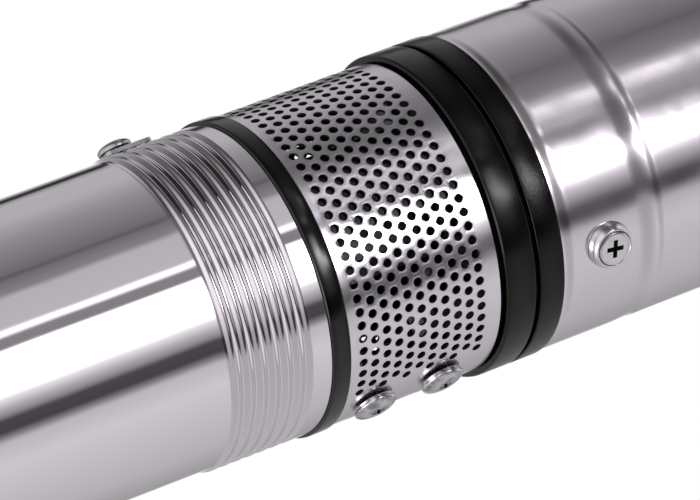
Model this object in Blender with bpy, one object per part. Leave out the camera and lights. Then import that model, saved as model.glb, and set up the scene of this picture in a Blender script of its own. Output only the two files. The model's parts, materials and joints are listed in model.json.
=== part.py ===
"""Borehole submersible pump, upright, motor below and pump above.

Metres, +Z up along the shaft, origin at the centre of the motor's flat base.
Each object is one separate piece of the pump. Pieces that turn or lift are
parented to the empty of their own motion.
"""
import math

import bmesh
import bpy
from mathutils import Matrix, Vector

# Clearances
GAP = 0.0003            # between pieces that seat on or in each other
RUNNING_GAP = 0.0003    # between the impeller neck and its wear ring

# Facets of the round forms
SHELL_STEPS = 24
INNER_STEPS = 18
SMALL_STEPS = 12
FINE_STEPS = 10
INNER_FLATS = math.cos(math.pi / INNER_STEPS)    # share of the radius at a facet's middle
SMALL_FLATS = math.cos(math.pi / SMALL_STEPS)

# Motor
MOTOR_WALL = 0.0012
MOTOR_SHELL_LENGTH = 0.290
NECK_IN = 0.0004             # the shell draws in a little at its top edge
NECK_LENGTH = 0.003
ROLLED_GROOVE_DEPTH = 0.0009
ROLLED_GROOVE_HALF = 0.006
ROLLED_GROOVE_BELOW_TOP = 0.0294
FLANGE_R = 0.0489             # the widest round of the pump, which the others step in from
SHELL_INSET = 0.0005          # motor shell inside the flange
BASE_CAP_HEIGHT = 0.014
BASE_CAP_SPIGOT = 0.010
BASE_CAP_FLOOR = 0.006
BASE_CHAMFER = 0.002
SPIGOT_WALL = 0.006
VENT_R = 0.003
DIAPHRAGM_RUBBER = 0.0016
DIAPHRAGM_RISE = 0.003
THRUST_PLATE = 0.0045
THRUST_PAD = 0.004
THRUST_PAD_COUNT = 6
THRUST_PAD_INNER_R = 0.0125
THRUST_PAD_OUTER_R = 0.0225
THRUST_DISC = 0.005
THRUST_DISC_R = 0.024
LOWER_BRACKET_RING = 0.032
BEARING_WEB = 0.005
BUSH_LENGTH = 0.018
BUSH_WALL = 0.0032
BEARING_HUB_WALL = 0.0045
STATOR_LENGTH = 0.140
STATOR_WALL = 0.0204
AIR_GAP = 0.0005
WINDING_LENGTH = 0.016
WINDING_THICKNESS = 0.014
WINDING_INSET = 0.0016
LOWER_WINDING_CLEARANCE = 0.004
ROTOR_END_RING = 0.008
ROTOR_END_STEP = 0.004
MOTOR_SHAFT_R = 0.010
FLANGE_SPIGOT_LENGTH = 0.0236
FLANGE_WEB = 0.010
UPPER_HUB_DROP = 0.012
MOTOR_RIM_HEIGHT = 0.0082
RIM_GROOVE_HEIGHT = 0.0012
RIM_GROOVE_DEPTH = 0.0022
SEAL_POCKET_R = 0.0175
SEAL_POCKET_DEPTH = 0.008
SEAL_SEAT_HEIGHT = 0.0072
SEAL_RING_FACE_HEIGHT = 0.0045
SEAL_RING_FACE_R = 0.0142
SEAL_SPRING_WIRE_R = 0.0007
SEAL_SPRING_TURNS = 3
SEAL_SPRING_HEIGHT = 0.0065
SLINGER_R = 0.0175
SLINGER_HEIGHT = 0.0035
LEAD_R = 0.0033              # bore for the supply lead
LEAD_GROMMET_WALL = 0.0022
LEAD_WALL_CLEARANCE = 0.0013 # between the grommet and the lantern's wall
LEAD_ANGLE = 90.0

# Shell screws in raised cup washers
SHELL_SCREW_COUNT = 2
SHELL_SCREW_ANGLE = 237.0
SHELL_SCREW_BELOW_TOP = 0.0150
SHELL_SCREW_HEAD_R = 0.0052
SHELL_SCREW_HEAD = 0.0028
SHELL_SCREW_SHANK_R = 0.0019
SHELL_SCREW_SHANK = 0.0058
CUP_WASHER_R = 0.0070
CUP_WASHER_TAPER = 0.0010
CUP_WASHER_HEIGHT = 0.0029

# Suction lantern
BRACKET_RIM_HEIGHT = 0.0096
BRACKET_LIP_HEIGHT = 0.0013
BRACKET_WALL = 0.0065
BRACKET_HOLE_CLEARANCE = 0.0030
PILLAR_DEPTH = 0.0147
WINDOW_MARGIN = 0.004
THROAT_R = 0.026
THROAT_LENGTH = 0.012
BRACKET_SPIGOT_LENGTH = 0.031
BOLT_COUNT = 4
BOLT_R = 0.0030
BOLT_WALL_CLEARANCE = 0.0007
BOLT_DEPTH = 0.0065
BOLT_HEAD_HEIGHT = 0.0045
BOLT_HEAD_R = 0.0055
STRAINER_INSET = 0.0019       # strainer inside the flange
STRAINER_WALL = 0.0009
STRAINER_HEIGHT = 0.0498
STRAINER_MARGIN = 0.0053
STRAINER_ROWS = 4
STRAINER_COLUMNS = SHELL_STEPS
STRAINER_SEAM_COLUMNS = 3
STRAINER_HOLE_R = 0.0046
SEAM_ANGLE = 199.0           # the sheet's joint and its two screws
SEAM_SCREW_UP = (0.0164, 0.0389)
PAN_HEAD_R = 0.0058
PAN_HEAD_HEIGHT = 0.0034
PAN_SHANK_R = 0.0021
PAN_SHANK = 0.0052
SEAL_RING_STAND = 0.0009      # thin ring outside the strainer
SEAL_RING_HEIGHT = 0.0054
COUPLING_R = 0.0115
COUPLING_LENGTH = 0.040
COUPLING_CHAMFER = 0.001
COUPLED_SHAFT_R = 0.006

# Pump shell: the band at its foot takes the rolled round thread
PUMP_SHELL_INSET = 0.0010     # pump shell inside the strainer
PUMP_WALL = 0.0012
THREAD_STAND = 0.0008         # threaded band outside the tube
THREAD_BAND_HEIGHT = 0.0312
THREAD_STEP = 0.0006
CRIMP_DEPTH = 0.0010
CRIMP_HALF = 0.0025
CRIMP_BELOW_TOP = 0.008
LOCK_ANGLE = 12.0
LOCK_SCREW_UP = 0.0196
LOCK_PLATE_LENGTH = 0.0146
LOCK_PLATE_WIDTH = 0.0100
LOCK_PLATE_THICKNESS = 0.0012
LOCK_PLATE_BELOW_SCREW = 0.0100
LOCK_HEAD_SCALE = 0.9         # its pan head beside those of the strainer

# Stages
STAGES = 3
STAGE_PITCH = 0.034
BOWL_WALL = 0.003
BOWL_WEB = 0.0025
LEAD_FLAT_DEPTH = 0.0024
LEAD_FLAT_WIDTH = 0.012
WEAR_RING_WALL = 0.0022
IMPELLER_CLEARANCE = 0.0055   # to the bowl
IMPELLER_EYE_R = 0.0165
EYE_WALL = 0.0014
SHROUD = 0.0015
PASSAGE = 0.0055
SHROUD_CLEARANCE = 0.0010
IMPELLER_HUB_R = 0.0092
BLADES = 6
BLADE_THICKNESS = 0.0016
BLADE_SWEEP = 62.0
BLADE_INNER_R = 0.0175
GUIDE_VANES = 6
GUIDE_SWEEP = 48.0
GUIDE_DISC_CLEARANCE = 0.0050
GUIDE_DISC = 0.002
GUIDE_INNER_R = 0.0125
PUMP_SHAFT_R = 0.006
PUMP_JOURNAL_R = 0.005
IMPELLER_NUT_HEIGHT = 0.006
IMPELLER_NUT_R = 0.0085
SPIDER_RIM = 0.006
SPIDER_RIM_IN = 0.0070
SPIDER_RISE = 0.014
SPIDER_WINDOWS = 3
SPIDER_WINDOW_WIDTH = 0.024
TOP_BUSH_LENGTH = 0.012
TOP_BUSH_WALL = 0.0027
TOP_HUB_WALL = 0.003

# Discharge head with its check valve
HEAD_SPIGOT_LENGTH = 0.018
HEAD_RIM_STAND = 0.0008       # head outside the pump shell
HEAD_RIM_HEIGHT = 0.008
SHOULDER_HEIGHT = 0.014
NECK_CLEARANCE = 0.0012       # to the gland boss
FUNNEL_WALL = 0.0065
FUNNEL_HEIGHT = 0.024
VALVE_SEAT_STAND = 0.002      # outside the valve chamber
VALVE_SEAT_HEIGHT = 0.006
VALVE_LAND = 0.0032           # overlap of poppet and seat
CHAMBER_WALL = 0.0042
CHAMBER_HEIGHT = 0.026
POPPET_CLEARANCE = 0.0048
POPPET_THICKNESS = 0.004
STEM_R = 0.003
STEM_CLEARANCE = 0.0004
VALVE_LIFT = 0.008
GUIDE_CAGE_HEIGHT = 0.004
GUIDE_CAGE_HUB_R = 0.0065
GUIDE_CAGE_RIM = 0.0035
SPRING_WIRE_R = 0.0006
SPRING_R = 0.0078
SPRING_TURNS = 4
SOCKET_WALL = 0.0067
SOCKET_DEPTH = 0.022
NECK_CHAMFER = 0.002
EAR_THICKNESS = 0.009
EAR_INSET = 0.0083            # outer side of the eye's hole inside the head's rim
EAR_ROUND_R = 0.0088
EAR_HOLE_R = 0.0048
EAR_HOLE_UP = 0.036
EAR_FOOT = 0.006
GLAND_INSET = 0.0018          # gland boss inside the head's rim
GLAND_BOSS_R = 0.0088
GLAND_BOSS_UP = 0.001
GLAND_HEX_R = 0.0086
GLAND_HEX_HEIGHT = 0.005
GLAND_BARREL_R = 0.0060
GLAND_BARREL_HEIGHT = 0.011
GLAND_NUT_HEIGHT = 0.010
GLAND_NUT_LID = 0.0025
GLAND_SEAL_HEIGHT = 0.006
GLAND_SEAL_WALL = 0.0012

# Radii that follow from the sizes above
MOTOR_SHELL_R = FLANGE_R - SHELL_INSET
STRAINER_R = FLANGE_R - STRAINER_INSET
SEAL_RING_R = STRAINER_R + SEAL_RING_STAND
PUMP_SHELL_R = STRAINER_R - PUMP_SHELL_INSET
THREAD_BAND_R = PUMP_SHELL_R + THREAD_STAND
HEAD_RIM_R = PUMP_SHELL_R + HEAD_RIM_STAND
MOTOR_BORE_R = MOTOR_SHELL_R - MOTOR_WALL
MOTOR_FIT_R = MOTOR_BORE_R - GAP
PUMP_BORE_R = PUMP_SHELL_R - PUMP_WALL
PUMP_FIT_R = PUMP_BORE_R - GAP
BRACKET_BODY_R = STRAINER_R - STRAINER_WALL - GAP
BRACKET_BORE_R = BRACKET_BODY_R - BRACKET_WALL
BRACKET_HOLE_R = SLINGER_R + BRACKET_HOLE_CLEARANCE
BOLT_CIRCLE_R = BRACKET_BORE_R - BOLT_HEAD_R - BOLT_WALL_CLEARANCE
LEAD_RADIUS = BRACKET_BORE_R - LEAD_R - LEAD_GROMMET_WALL - LEAD_WALL_CLEARANCE
WINDOW_WIDTH = math.sqrt(2) * (BRACKET_BODY_R - PILLAR_DEPTH)
STATOR_BORE_R = MOTOR_FIT_R - STATOR_WALL
BUSH_BORE_R = (MOTOR_SHAFT_R + GAP) / SMALL_FLATS
BUSH_R = BUSH_BORE_R + BUSH_WALL
BUSH_SEAT_R = BUSH_R + GAP
BEARING_HUB_R = BUSH_SEAT_R + BEARING_HUB_WALL
ROTOR_R = STATOR_BORE_R * INNER_FLATS - AIR_GAP
BOWL_BORE_R = PUMP_FIT_R - BOWL_WALL
IMPELLER_R = BOWL_BORE_R - IMPELLER_CLEARANCE
GUIDE_DISC_R = BOWL_BORE_R - GUIDE_DISC_CLEARANCE
WEAR_RING_BORE_R = (IMPELLER_EYE_R + RUNNING_GAP) / SMALL_FLATS
WEAR_RING_R = WEAR_RING_BORE_R + WEAR_RING_WALL
TOP_BUSH_BORE_R = (PUMP_JOURNAL_R + GAP) / SMALL_FLATS
TOP_BUSH_R = TOP_BUSH_BORE_R + TOP_BUSH_WALL
TOP_HUB_R = TOP_BUSH_R + GAP + TOP_HUB_WALL
GLAND_RADIUS = HEAD_RIM_R - GLAND_INSET - GLAND_BOSS_R
NECK_R = GLAND_RADIUS - GLAND_BOSS_R - NECK_CLEARANCE
SOCKET_R = NECK_R - SOCKET_WALL
CHAMBER_R = NECK_R - CHAMBER_WALL
VALVE_SEAT_R = CHAMBER_R + VALVE_SEAT_STAND
POPPET_R = CHAMBER_R - POPPET_CLEARANCE
VALVE_THROAT_R = POPPET_R - VALVE_LAND
HEAD_FUNNEL_R = PUMP_FIT_R - FUNNEL_WALL
EAR_REACH = HEAD_RIM_R - EAR_INSET

# Heights that follow, from the base up
CAP_TOP = BASE_CAP_HEIGHT
CAP_SPIGOT_TOP = CAP_TOP + BASE_CAP_SPIGOT
SHELL_BOTTOM = CAP_TOP + GAP
SHELL_TOP = SHELL_BOTTOM + MOTOR_SHELL_LENGTH
PLATE_BOTTOM = CAP_SPIGOT_TOP + GAP
PLATE_TOP = PLATE_BOTTOM + THRUST_PLATE
DISC_BOTTOM = PLATE_TOP + THRUST_PAD + GAP
DISC_TOP = DISC_BOTTOM + THRUST_DISC
LOWER_BRACKET_BOTTOM = PLATE_TOP + GAP
LOWER_BRACKET_TOP = LOWER_BRACKET_BOTTOM + LOWER_BRACKET_RING
LOWER_BUSH_TOP = LOWER_BRACKET_TOP
LOWER_BUSH_BOTTOM = LOWER_BUSH_TOP - BUSH_LENGTH
STATOR_BOTTOM = LOWER_BRACKET_TOP + LOWER_WINDING_CLEARANCE + WINDING_LENGTH + GAP
STATOR_TOP = STATOR_BOTTOM + STATOR_LENGTH
RIM_BOTTOM = SHELL_TOP + GAP
RIM_TOP = RIM_BOTTOM + MOTOR_RIM_HEIGHT
MOTOR_FACE = RIM_TOP + RIM_GROOVE_HEIGHT
FLANGE_SPIGOT_BOTTOM = RIM_BOTTOM - FLANGE_SPIGOT_LENGTH
FLANGE_WEB_BOTTOM = MOTOR_FACE - SEAL_POCKET_DEPTH - FLANGE_WEB
UPPER_BUSH_BOTTOM = FLANGE_WEB_BOTTOM - UPPER_HUB_DROP
UPPER_BUSH_TOP = UPPER_BUSH_BOTTOM + BUSH_LENGTH
ROLLED_GROOVE_Z = SHELL_TOP - ROLLED_GROOVE_BELOW_TOP
SHELL_SCREW_Z = SHELL_TOP - SHELL_SCREW_BELOW_TOP
BRACKET_BOTTOM = MOTOR_FACE + GAP
BRACKET_RIM_TOP = BRACKET_BOTTOM + BRACKET_RIM_HEIGHT
STRAINER_BOTTOM = BRACKET_RIM_TOP + BRACKET_LIP_HEIGHT
STRAINER_TOP = STRAINER_BOTTOM + STRAINER_HEIGHT
RING_BOTTOM = STRAINER_TOP + GAP
RING_TOP = RING_BOTTOM + SEAL_RING_HEIGHT
PUMP_SHELL_BOTTOM = RING_TOP + GAP
BRACKET_TOP = PUMP_SHELL_BOTTOM + BRACKET_SPIGOT_LENGTH
STACK_BOTTOM = BRACKET_TOP + GAP
STACK_TOP = STACK_BOTTOM + STAGES * STAGE_PITCH
SEAL_SEAT_TOP = MOTOR_FACE - SEAL_POCKET_DEPTH + GAP + SEAL_SEAT_HEIGHT
SEAL_FACE_TOP = SEAL_SEAT_TOP + GAP + SEAL_RING_FACE_HEIGHT
SLINGER_BOTTOM = SEAL_FACE_TOP + SEAL_SPRING_HEIGHT + 2 * GAP
SLINGER_TOP = SLINGER_BOTTOM + SLINGER_HEIGHT
COUPLING_BOTTOM = SLINGER_TOP + GAP
COUPLING_TOP = COUPLING_BOTTOM + COUPLING_LENGTH
SHAFT_JOINT = COUPLING_BOTTOM + COUPLING_LENGTH / 2
LOCK_SCREW_Z = PUMP_SHELL_BOTTOM + LOCK_SCREW_UP
SPIDER_TOP = STACK_TOP + SPIDER_RIM
NUT_TOP = STACK_TOP + IMPELLER_NUT_HEIGHT
TOP_HUB_BOTTOM = NUT_TOP + 4 * GAP
TOP_HUB_TOP = TOP_HUB_BOTTOM + TOP_BUSH_LENGTH
HEAD_BOTTOM = SPIDER_TOP + GAP
PUMP_SHELL_TOP = HEAD_BOTTOM + HEAD_SPIGOT_LENGTH
CRIMP_Z = PUMP_SHELL_TOP - CRIMP_BELOW_TOP
HEAD_RIM_BOTTOM = PUMP_SHELL_TOP + GAP
HEAD_RIM_TOP = HEAD_RIM_BOTTOM + HEAD_RIM_HEIGHT
SHOULDER_TOP = HEAD_RIM_TOP + SHOULDER_HEIGHT
SEAT_BOTTOM = HEAD_BOTTOM + FUNNEL_HEIGHT
SEAT_TOP = SEAT_BOTTOM + VALVE_SEAT_HEIGHT
SOCKET_BOTTOM = SEAT_TOP + GAP + CHAMBER_HEIGHT
HEAD_TOP = SOCKET_BOTTOM + SOCKET_DEPTH
CAGE_TOP = SOCKET_BOTTOM - GAP
CAGE_BOTTOM = CAGE_TOP - GUIDE_CAGE_HEIGHT
POPPET_BOTTOM = SEAT_TOP + GAP
POPPET_TOP = POPPET_BOTTOM + POPPET_THICKNESS
STEM_TOP = CAGE_TOP + GAP
GLAND_BOSS_TOP = SHOULDER_TOP + GLAND_BOSS_UP
EAR_HOLE_Z = HEAD_RIM_TOP + EAR_HOLE_UP


def clear_scene():
    for old in list(bpy.data.objects):
        bpy.data.objects.remove(old, do_unlink=True)


def srgb(hex_colour):
    """Linear RGB of an sRGB colour written as rrggbb."""
    channels = [int(hex_colour[i:i + 2], 16) / 255 for i in (0, 2, 4)]
    return [c / 12.92 if c <= 0.04045 else ((c + 0.055) / 1.055) ** 2.4 for c in channels]


def material(name, hex_colour, metallic, roughness):
    made = bpy.data.materials.new(name)
    made.use_nodes = True
    shader = made.node_tree.nodes["Principled BSDF"]
    shader.inputs["Base Color"].default_value = (*srgb(hex_colour), 1.0)
    shader.inputs["Metallic"].default_value = metallic
    shader.inputs["Roughness"].default_value = roughness
    return made


def finishes():
    return {
        "polished": material("polished_stainless", "d9d7da", 1.0, 0.08),
        "brushed": material("brushed_stainless", "c9c6ca", 1.0, 0.28),
        "machined": material("machined_steel", "b4b4b8", 1.0, 0.35),
        "black": material("black_nylon", "1c1c1d", 0.0, 0.35),
        "rubber": material("black_rubber", "141414", 0.0, 0.6),
        "iron": material("cast_iron", "3a3b3d", 0.6, 0.55),
        "laminated": material("electrical_steel", "6a6a6e", 0.8, 0.5),
        "copper": material("enamelled_copper", "9a4a22", 0.8, 0.4),
        "carbon": material("carbon_graphite", "262629", 0.1, 0.5),
        "plastic": material("pale_noryl", "c9c4b0", 0.0, 0.45),
        "brass": material("brass", "b9974e", 1.0, 0.3),
    }


def empty(name, place):
    holder = bpy.data.objects.new(name, None)
    bpy.context.collection.objects.link(holder)
    holder.location = place
    return holder


def mesh_object(name, bm, finish, parent=None):
    """Close a bmesh into an object whose faces point outwards."""
    bmesh.ops.remove_doubles(bm, verts=bm.verts, dist=1e-6)
    bmesh.ops.recalc_face_normals(bm, faces=bm.faces)
    mesh = bpy.data.meshes.new(name)
    bm.to_mesh(mesh)
    bm.free()
    mesh.shade_smooth()
    mesh.set_sharp_from_angle(angle=math.radians(30))
    made = bpy.data.objects.new(name, mesh)
    bpy.context.collection.objects.link(made)
    if finish is not None:
        made.data.materials.append(finish)
    if parent is not None:
        made.parent = parent
        made.matrix_parent_inverse = Matrix.Translation(-parent.location)
    return made


def turned(profile, steps, start=0.0):
    """A bmesh spun about Z from a profile of radius and height pairs.

    A profile that starts and ends on the axis is left open there; any other
    is closed into a ring.
    """
    bm = bmesh.new()
    points = [bm.verts.new((r, 0.0, z)) for r, z in profile]
    pairs = list(zip(points, points[1:]))
    if profile[0][0] > 0:
        pairs.append((points[-1], points[0]))
    edges = [bm.edges.new(pair) for pair in pairs]
    bmesh.ops.spin(bm, geom=points + edges, cent=(0, 0, 0), axis=(0, 0, 1),
                   angle=math.tau, steps=steps, use_merge=True, use_duplicate=False)
    bmesh.ops.remove_doubles(bm, verts=bm.verts, dist=1e-6)
    if start:
        bmesh.ops.rotate(bm, verts=bm.verts, matrix=Matrix.Rotation(math.radians(start), 3, "Z"))
    return bm


def ring(inner_r, outer_r, bottom, top, steps):
    return turned([(outer_r, bottom), (outer_r, top), (inner_r, top), (inner_r, bottom)], steps)


def rod(radius, bottom, top, steps):
    return turned([(0, bottom), (radius, bottom), (radius, top), (0, top)], steps)


def block(low, high):
    bm = bmesh.new()
    size = Vector(high) - Vector(low)
    centre = (Vector(high) + Vector(low)) / 2
    bmesh.ops.create_cube(bm, size=1.0)
    bmesh.ops.scale(bm, verts=bm.verts, vec=size)
    bmesh.ops.translate(bm, verts=bm.verts, vec=centre)
    return bm


def extruded(outline, along):
    """A closed solid from a flat outline pushed along a vector."""
    bm = bmesh.new()
    foot = bm.faces.new([bm.verts.new(point) for point in outline])
    grown = bmesh.ops.extrude_face_region(bm, geom=[foot])
    lifted = [v for v in grown["geom"] if isinstance(v, bmesh.types.BMVert)]
    bmesh.ops.translate(bm, verts=lifted, vec=along)
    bmesh.ops.recalc_face_normals(bm, faces=bm.faces)
    return bm


def turn_about_z(bm, degrees):
    bmesh.ops.rotate(bm, verts=bm.verts, matrix=Matrix.Rotation(math.radians(degrees), 3, "Z"))
    return bm


def move(bm, x=0.0, y=0.0, z=0.0):
    bmesh.ops.translate(bm, verts=bm.verts, vec=(x, y, z))
    return bm


def joined(parts):
    """One bmesh from several that stay separate bodies."""
    whole = bmesh.new()
    for part in parts:
        carrier = bpy.data.meshes.new("carrier")
        part.to_mesh(carrier)
        part.free()
        whole.from_mesh(carrier)
        bpy.data.meshes.remove(carrier)
    return whole


def radial(bm, degrees, height):
    """Lay a piece made along Z onto the radius at an angle, its foot at the axis."""
    out = Matrix.Rotation(math.radians(degrees), 4, "Z") @ Matrix.Rotation(math.radians(90), 4, "Y")
    bmesh.ops.transform(bm, matrix=Matrix.Translation((0, 0, height)) @ out, verts=bm.verts)
    return bm


def carve(target, cutter_bm, operation="DIFFERENCE"):
    """Apply one exact Boolean and drop the cutter."""
    cutter = mesh_object("cutter", cutter_bm, None)
    step = target.modifiers.new("carve", "BOOLEAN")
    step.operation = operation
    step.solver = "EXACT"
    step.object = cutter
    shape = bpy.data.meshes.new_from_object(
        target.evaluated_get(bpy.context.evaluated_depsgraph_get()))
    target.modifiers.clear()
    old = target.data
    target.data = shape
    shape.name = target.name
    bpy.data.meshes.remove(old)
    bpy.data.objects.remove(cutter, do_unlink=True)
    shape.shade_smooth()
    shape.set_sharp_from_angle(angle=math.radians(30))
    return target


def coil(radius, wire_r, bottom, top, turns):
    """A spring of round wire as a swept tube with closed ends."""
    steps_per_turn, sides = 8, 4
    count = steps_per_turn * turns
    low, high = bottom + wire_r, top - wire_r
    rings = []
    bm = bmesh.new()
    for i in range(count + 1):
        angle = math.tau * i / steps_per_turn
        height = low + (high - low) * i / count
        out = Vector((math.cos(angle), math.sin(angle), 0))
        centre = out * radius + Vector((0, 0, height))
        rings.append([bm.verts.new(centre + out * wire_r * math.cos(math.tau * k / sides)
                                   + Vector((0, 0, wire_r * math.sin(math.tau * k / sides))))
                      for k in range(sides)])
    for before, after in zip(rings, rings[1:]):
        for k in range(sides):
            n = (k + 1) % sides
            bm.faces.new((before[k], before[n], after[n], after[k]))
    bm.faces.new(rings[0])
    bm.faces.new(rings[-1])
    return bm


def curved_vanes(count, inner_r, outer_r, sweep, thickness, bottom, top):
    """Backward-curved vanes, extruded from their outlines round the axis."""
    segments = 2
    blades = []
    for blade in range(count):
        base = math.tau * blade / count
        sides = ([], [])
        for i in range(segments + 1):
            share = i / segments
            r = inner_r + (outer_r - inner_r) * share
            angle = base - math.radians(sweep) * share ** 0.8
            half = thickness / 2 / r
            for side, sign in zip(sides, (-1, 1)):
                side.append((r * math.cos(angle + sign * half), r * math.sin(angle + sign * half)))
        outline = sides[0] + sides[1][::-1]
        blades.append(extruded([(x, y, bottom) for x, y in outline], (0, 0, top - bottom)))
    return joined(blades)


def groove(radius, depth, height, half):
    """Profile points of a soft rolled groove, from its lower to its upper edge."""
    return [(radius - depth * share, height + half * place)
            for place, share in ((-1, 0), (-0.25, 1), (0.25, 1), (1, 0))]


def motor_shell(finish):
    inner = groove(MOTOR_BORE_R, ROLLED_GROOVE_DEPTH, ROLLED_GROOVE_Z, ROLLED_GROOVE_HALF)[::-1]
    profile = ([(MOTOR_SHELL_R, SHELL_BOTTOM)]
               + groove(MOTOR_SHELL_R, ROLLED_GROOVE_DEPTH, ROLLED_GROOVE_Z, ROLLED_GROOVE_HALF)
               + [(MOTOR_SHELL_R, SHELL_TOP - NECK_LENGTH), (MOTOR_SHELL_R - NECK_IN, SHELL_TOP),
                  (MOTOR_BORE_R, SHELL_TOP)] + inner + [(MOTOR_BORE_R, SHELL_BOTTOM)])
    shell = mesh_object("motor_shell", turned(profile, SHELL_STEPS), finish)
    return carve(shell, screw_holes())


def screw_angles():
    return [SHELL_SCREW_ANGLE + 360 * i / SHELL_SCREW_COUNT for i in range(SHELL_SCREW_COUNT)]


def screw_holes():
    """Radial clearance holes of the shell screws."""
    return joined([radial(rod(SHELL_SCREW_SHANK_R + GAP, MOTOR_BORE_R - SHELL_SCREW_SHANK - GAP,
                              FLANGE_R + 2 * GAP, 8), angle, SHELL_SCREW_Z)
                   for angle in screw_angles()])


def base_cap(finish):
    profile = [(VENT_R, 0), (FLANGE_R - BASE_CHAMFER, 0), (FLANGE_R, BASE_CHAMFER), (FLANGE_R, CAP_TOP),
               (MOTOR_FIT_R, CAP_TOP), (MOTOR_FIT_R, CAP_SPIGOT_TOP),
               (MOTOR_FIT_R - SPIGOT_WALL, CAP_SPIGOT_TOP), (MOTOR_FIT_R - SPIGOT_WALL, BASE_CAP_FLOOR),
               (VENT_R, BASE_CAP_FLOOR)]
    return mesh_object("base_cap", turned(profile, SHELL_STEPS), finish)


def diaphragm(finish):
    rim = MOTOR_FIT_R - SPIGOT_WALL - GAP
    low = BASE_CAP_FLOOR + GAP
    crown = low + DIAPHRAGM_RISE
    profile = [(0, crown), (rim * 0.62, crown), (rim * 0.76, low), (rim, low),
               (rim, low + DIAPHRAGM_RUBBER), (rim * 0.80, low + DIAPHRAGM_RUBBER),
               (rim * 0.66, crown + DIAPHRAGM_RUBBER), (0, crown + DIAPHRAGM_RUBBER)]
    return mesh_object("pressure_diaphragm", turned(profile, SHELL_STEPS), finish)


def sector(inner_r, outer_r, start, span, bottom, top, steps):
    """A closed sector of a flat ring."""
    angles = [start + span * k / steps for k in range(steps + 1)]
    outline = [(inner_r, a) for a in angles] + [(outer_r, a) for a in reversed(angles)]
    return extruded([(r * math.cos(a), r * math.sin(a), bottom) for r, a in outline],
                    (0, 0, top - bottom))


def thrust_pads(finish):
    """Six bearing pads standing on their common plate."""
    plate = ring(VENT_R, MOTOR_FIT_R, PLATE_BOTTOM, PLATE_TOP, SHELL_STEPS)
    plate = mesh_object("thrust_pads", plate, finish)
    pitch = math.tau / THRUST_PAD_COUNT
    pads = [sector(THRUST_PAD_INNER_R, THRUST_PAD_OUTER_R, pitch * i, pitch * 0.78,
                   PLATE_TOP - THRUST_PLATE / 2, PLATE_TOP + THRUST_PAD, 2)
            for i in range(THRUST_PAD_COUNT)]
    return carve(plate, joined(pads), "UNION")


def thrust_disc(finish, shaft):
    bm = ring(MOTOR_SHAFT_R + GAP, THRUST_DISC_R, DISC_BOTTOM, DISC_TOP, INNER_STEPS)
    return mesh_object("thrust_disc", bm, finish, shaft)


def lower_bearing_bracket(finish):
    wall = MOTOR_FIT_R - SPIGOT_WALL
    web_top = LOWER_BUSH_BOTTOM + BEARING_WEB
    profile = [(MOTOR_FIT_R, LOWER_BRACKET_BOTTOM), (MOTOR_FIT_R, LOWER_BRACKET_TOP), (wall, LOWER_BRACKET_TOP),
               (wall, web_top), (BEARING_HUB_R, web_top), (BEARING_HUB_R, LOWER_BRACKET_TOP),
               (BUSH_SEAT_R, LOWER_BRACKET_TOP), (BUSH_SEAT_R, LOWER_BUSH_BOTTOM),
               (wall, LOWER_BUSH_BOTTOM), (wall, LOWER_BRACKET_BOTTOM)]
    return mesh_object("lower_bearing_bracket", turned(profile, SHELL_STEPS), finish)


def bearing_bush(name, bottom, finish):
    return mesh_object(name, ring(BUSH_BORE_R, BUSH_R, bottom, bottom + BUSH_LENGTH, SMALL_STEPS), finish)


def stator(finishes_of):
    core = ring(STATOR_BORE_R, MOTOR_FIT_R, STATOR_BOTTOM, STATOR_TOP, SHELL_STEPS)
    mesh_object("stator_core", core, finishes_of["laminated"])
    inner = STATOR_BORE_R + WINDING_INSET
    outer = inner + WINDING_THICKNESS
    soft = WINDING_THICKNESS / 4
    for name, bottom, lower in (("lower_winding", STATOR_BOTTOM - GAP - WINDING_LENGTH, True),
                                ("upper_winding", STATOR_TOP + GAP, False)):
        top = bottom + WINDING_LENGTH
        free, seated = (bottom, top) if lower else (top, bottom)
        slope = soft if lower else -soft
        ends = turned([(outer, seated), (outer, free + slope), (outer - soft, free),
                       (inner + soft, free), (inner, free + slope), (inner, seated)], INNER_STEPS)
        mesh_object(name, ends, finishes_of["copper"])


def rotor_core(finish, shaft):
    bore = MOTOR_SHAFT_R + GAP
    low = STATOR_BOTTOM - ROTOR_END_RING
    high = STATOR_TOP + ROTOR_END_RING
    step = ROTOR_R - ROTOR_END_STEP
    profile = [(bore, low), (step, low), (step, STATOR_BOTTOM), (ROTOR_R, STATOR_BOTTOM),
               (ROTOR_R, STATOR_TOP), (step, STATOR_TOP), (step, high), (bore, high)]
    return mesh_object("rotor_core", turned(profile, INNER_STEPS), finish, shaft)


def motor_shaft(finish, shaft):
    joint = SHAFT_JOINT - GAP / 2
    neck = SLINGER_TOP
    profile = [(0, DISC_BOTTOM), (MOTOR_SHAFT_R, DISC_BOTTOM), (MOTOR_SHAFT_R, neck),
               (COUPLED_SHAFT_R, neck), (COUPLED_SHAFT_R, joint), (0, joint)]
    return mesh_object("motor_shaft", turned(profile, SMALL_STEPS), finish, shaft)


def lead_place(bm, radius):
    angle = math.radians(LEAD_ANGLE)
    return move(bm, radius * math.cos(angle), radius * math.sin(angle))


def bolt_angles():
    return [SEAM_ANGLE + 45 + 360 * i / BOLT_COUNT for i in range(BOLT_COUNT)]


def at_bolt(bm, degrees):
    angle = math.radians(degrees)
    return move(bm, BOLT_CIRCLE_R * math.cos(angle), BOLT_CIRCLE_R * math.sin(angle))


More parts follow.
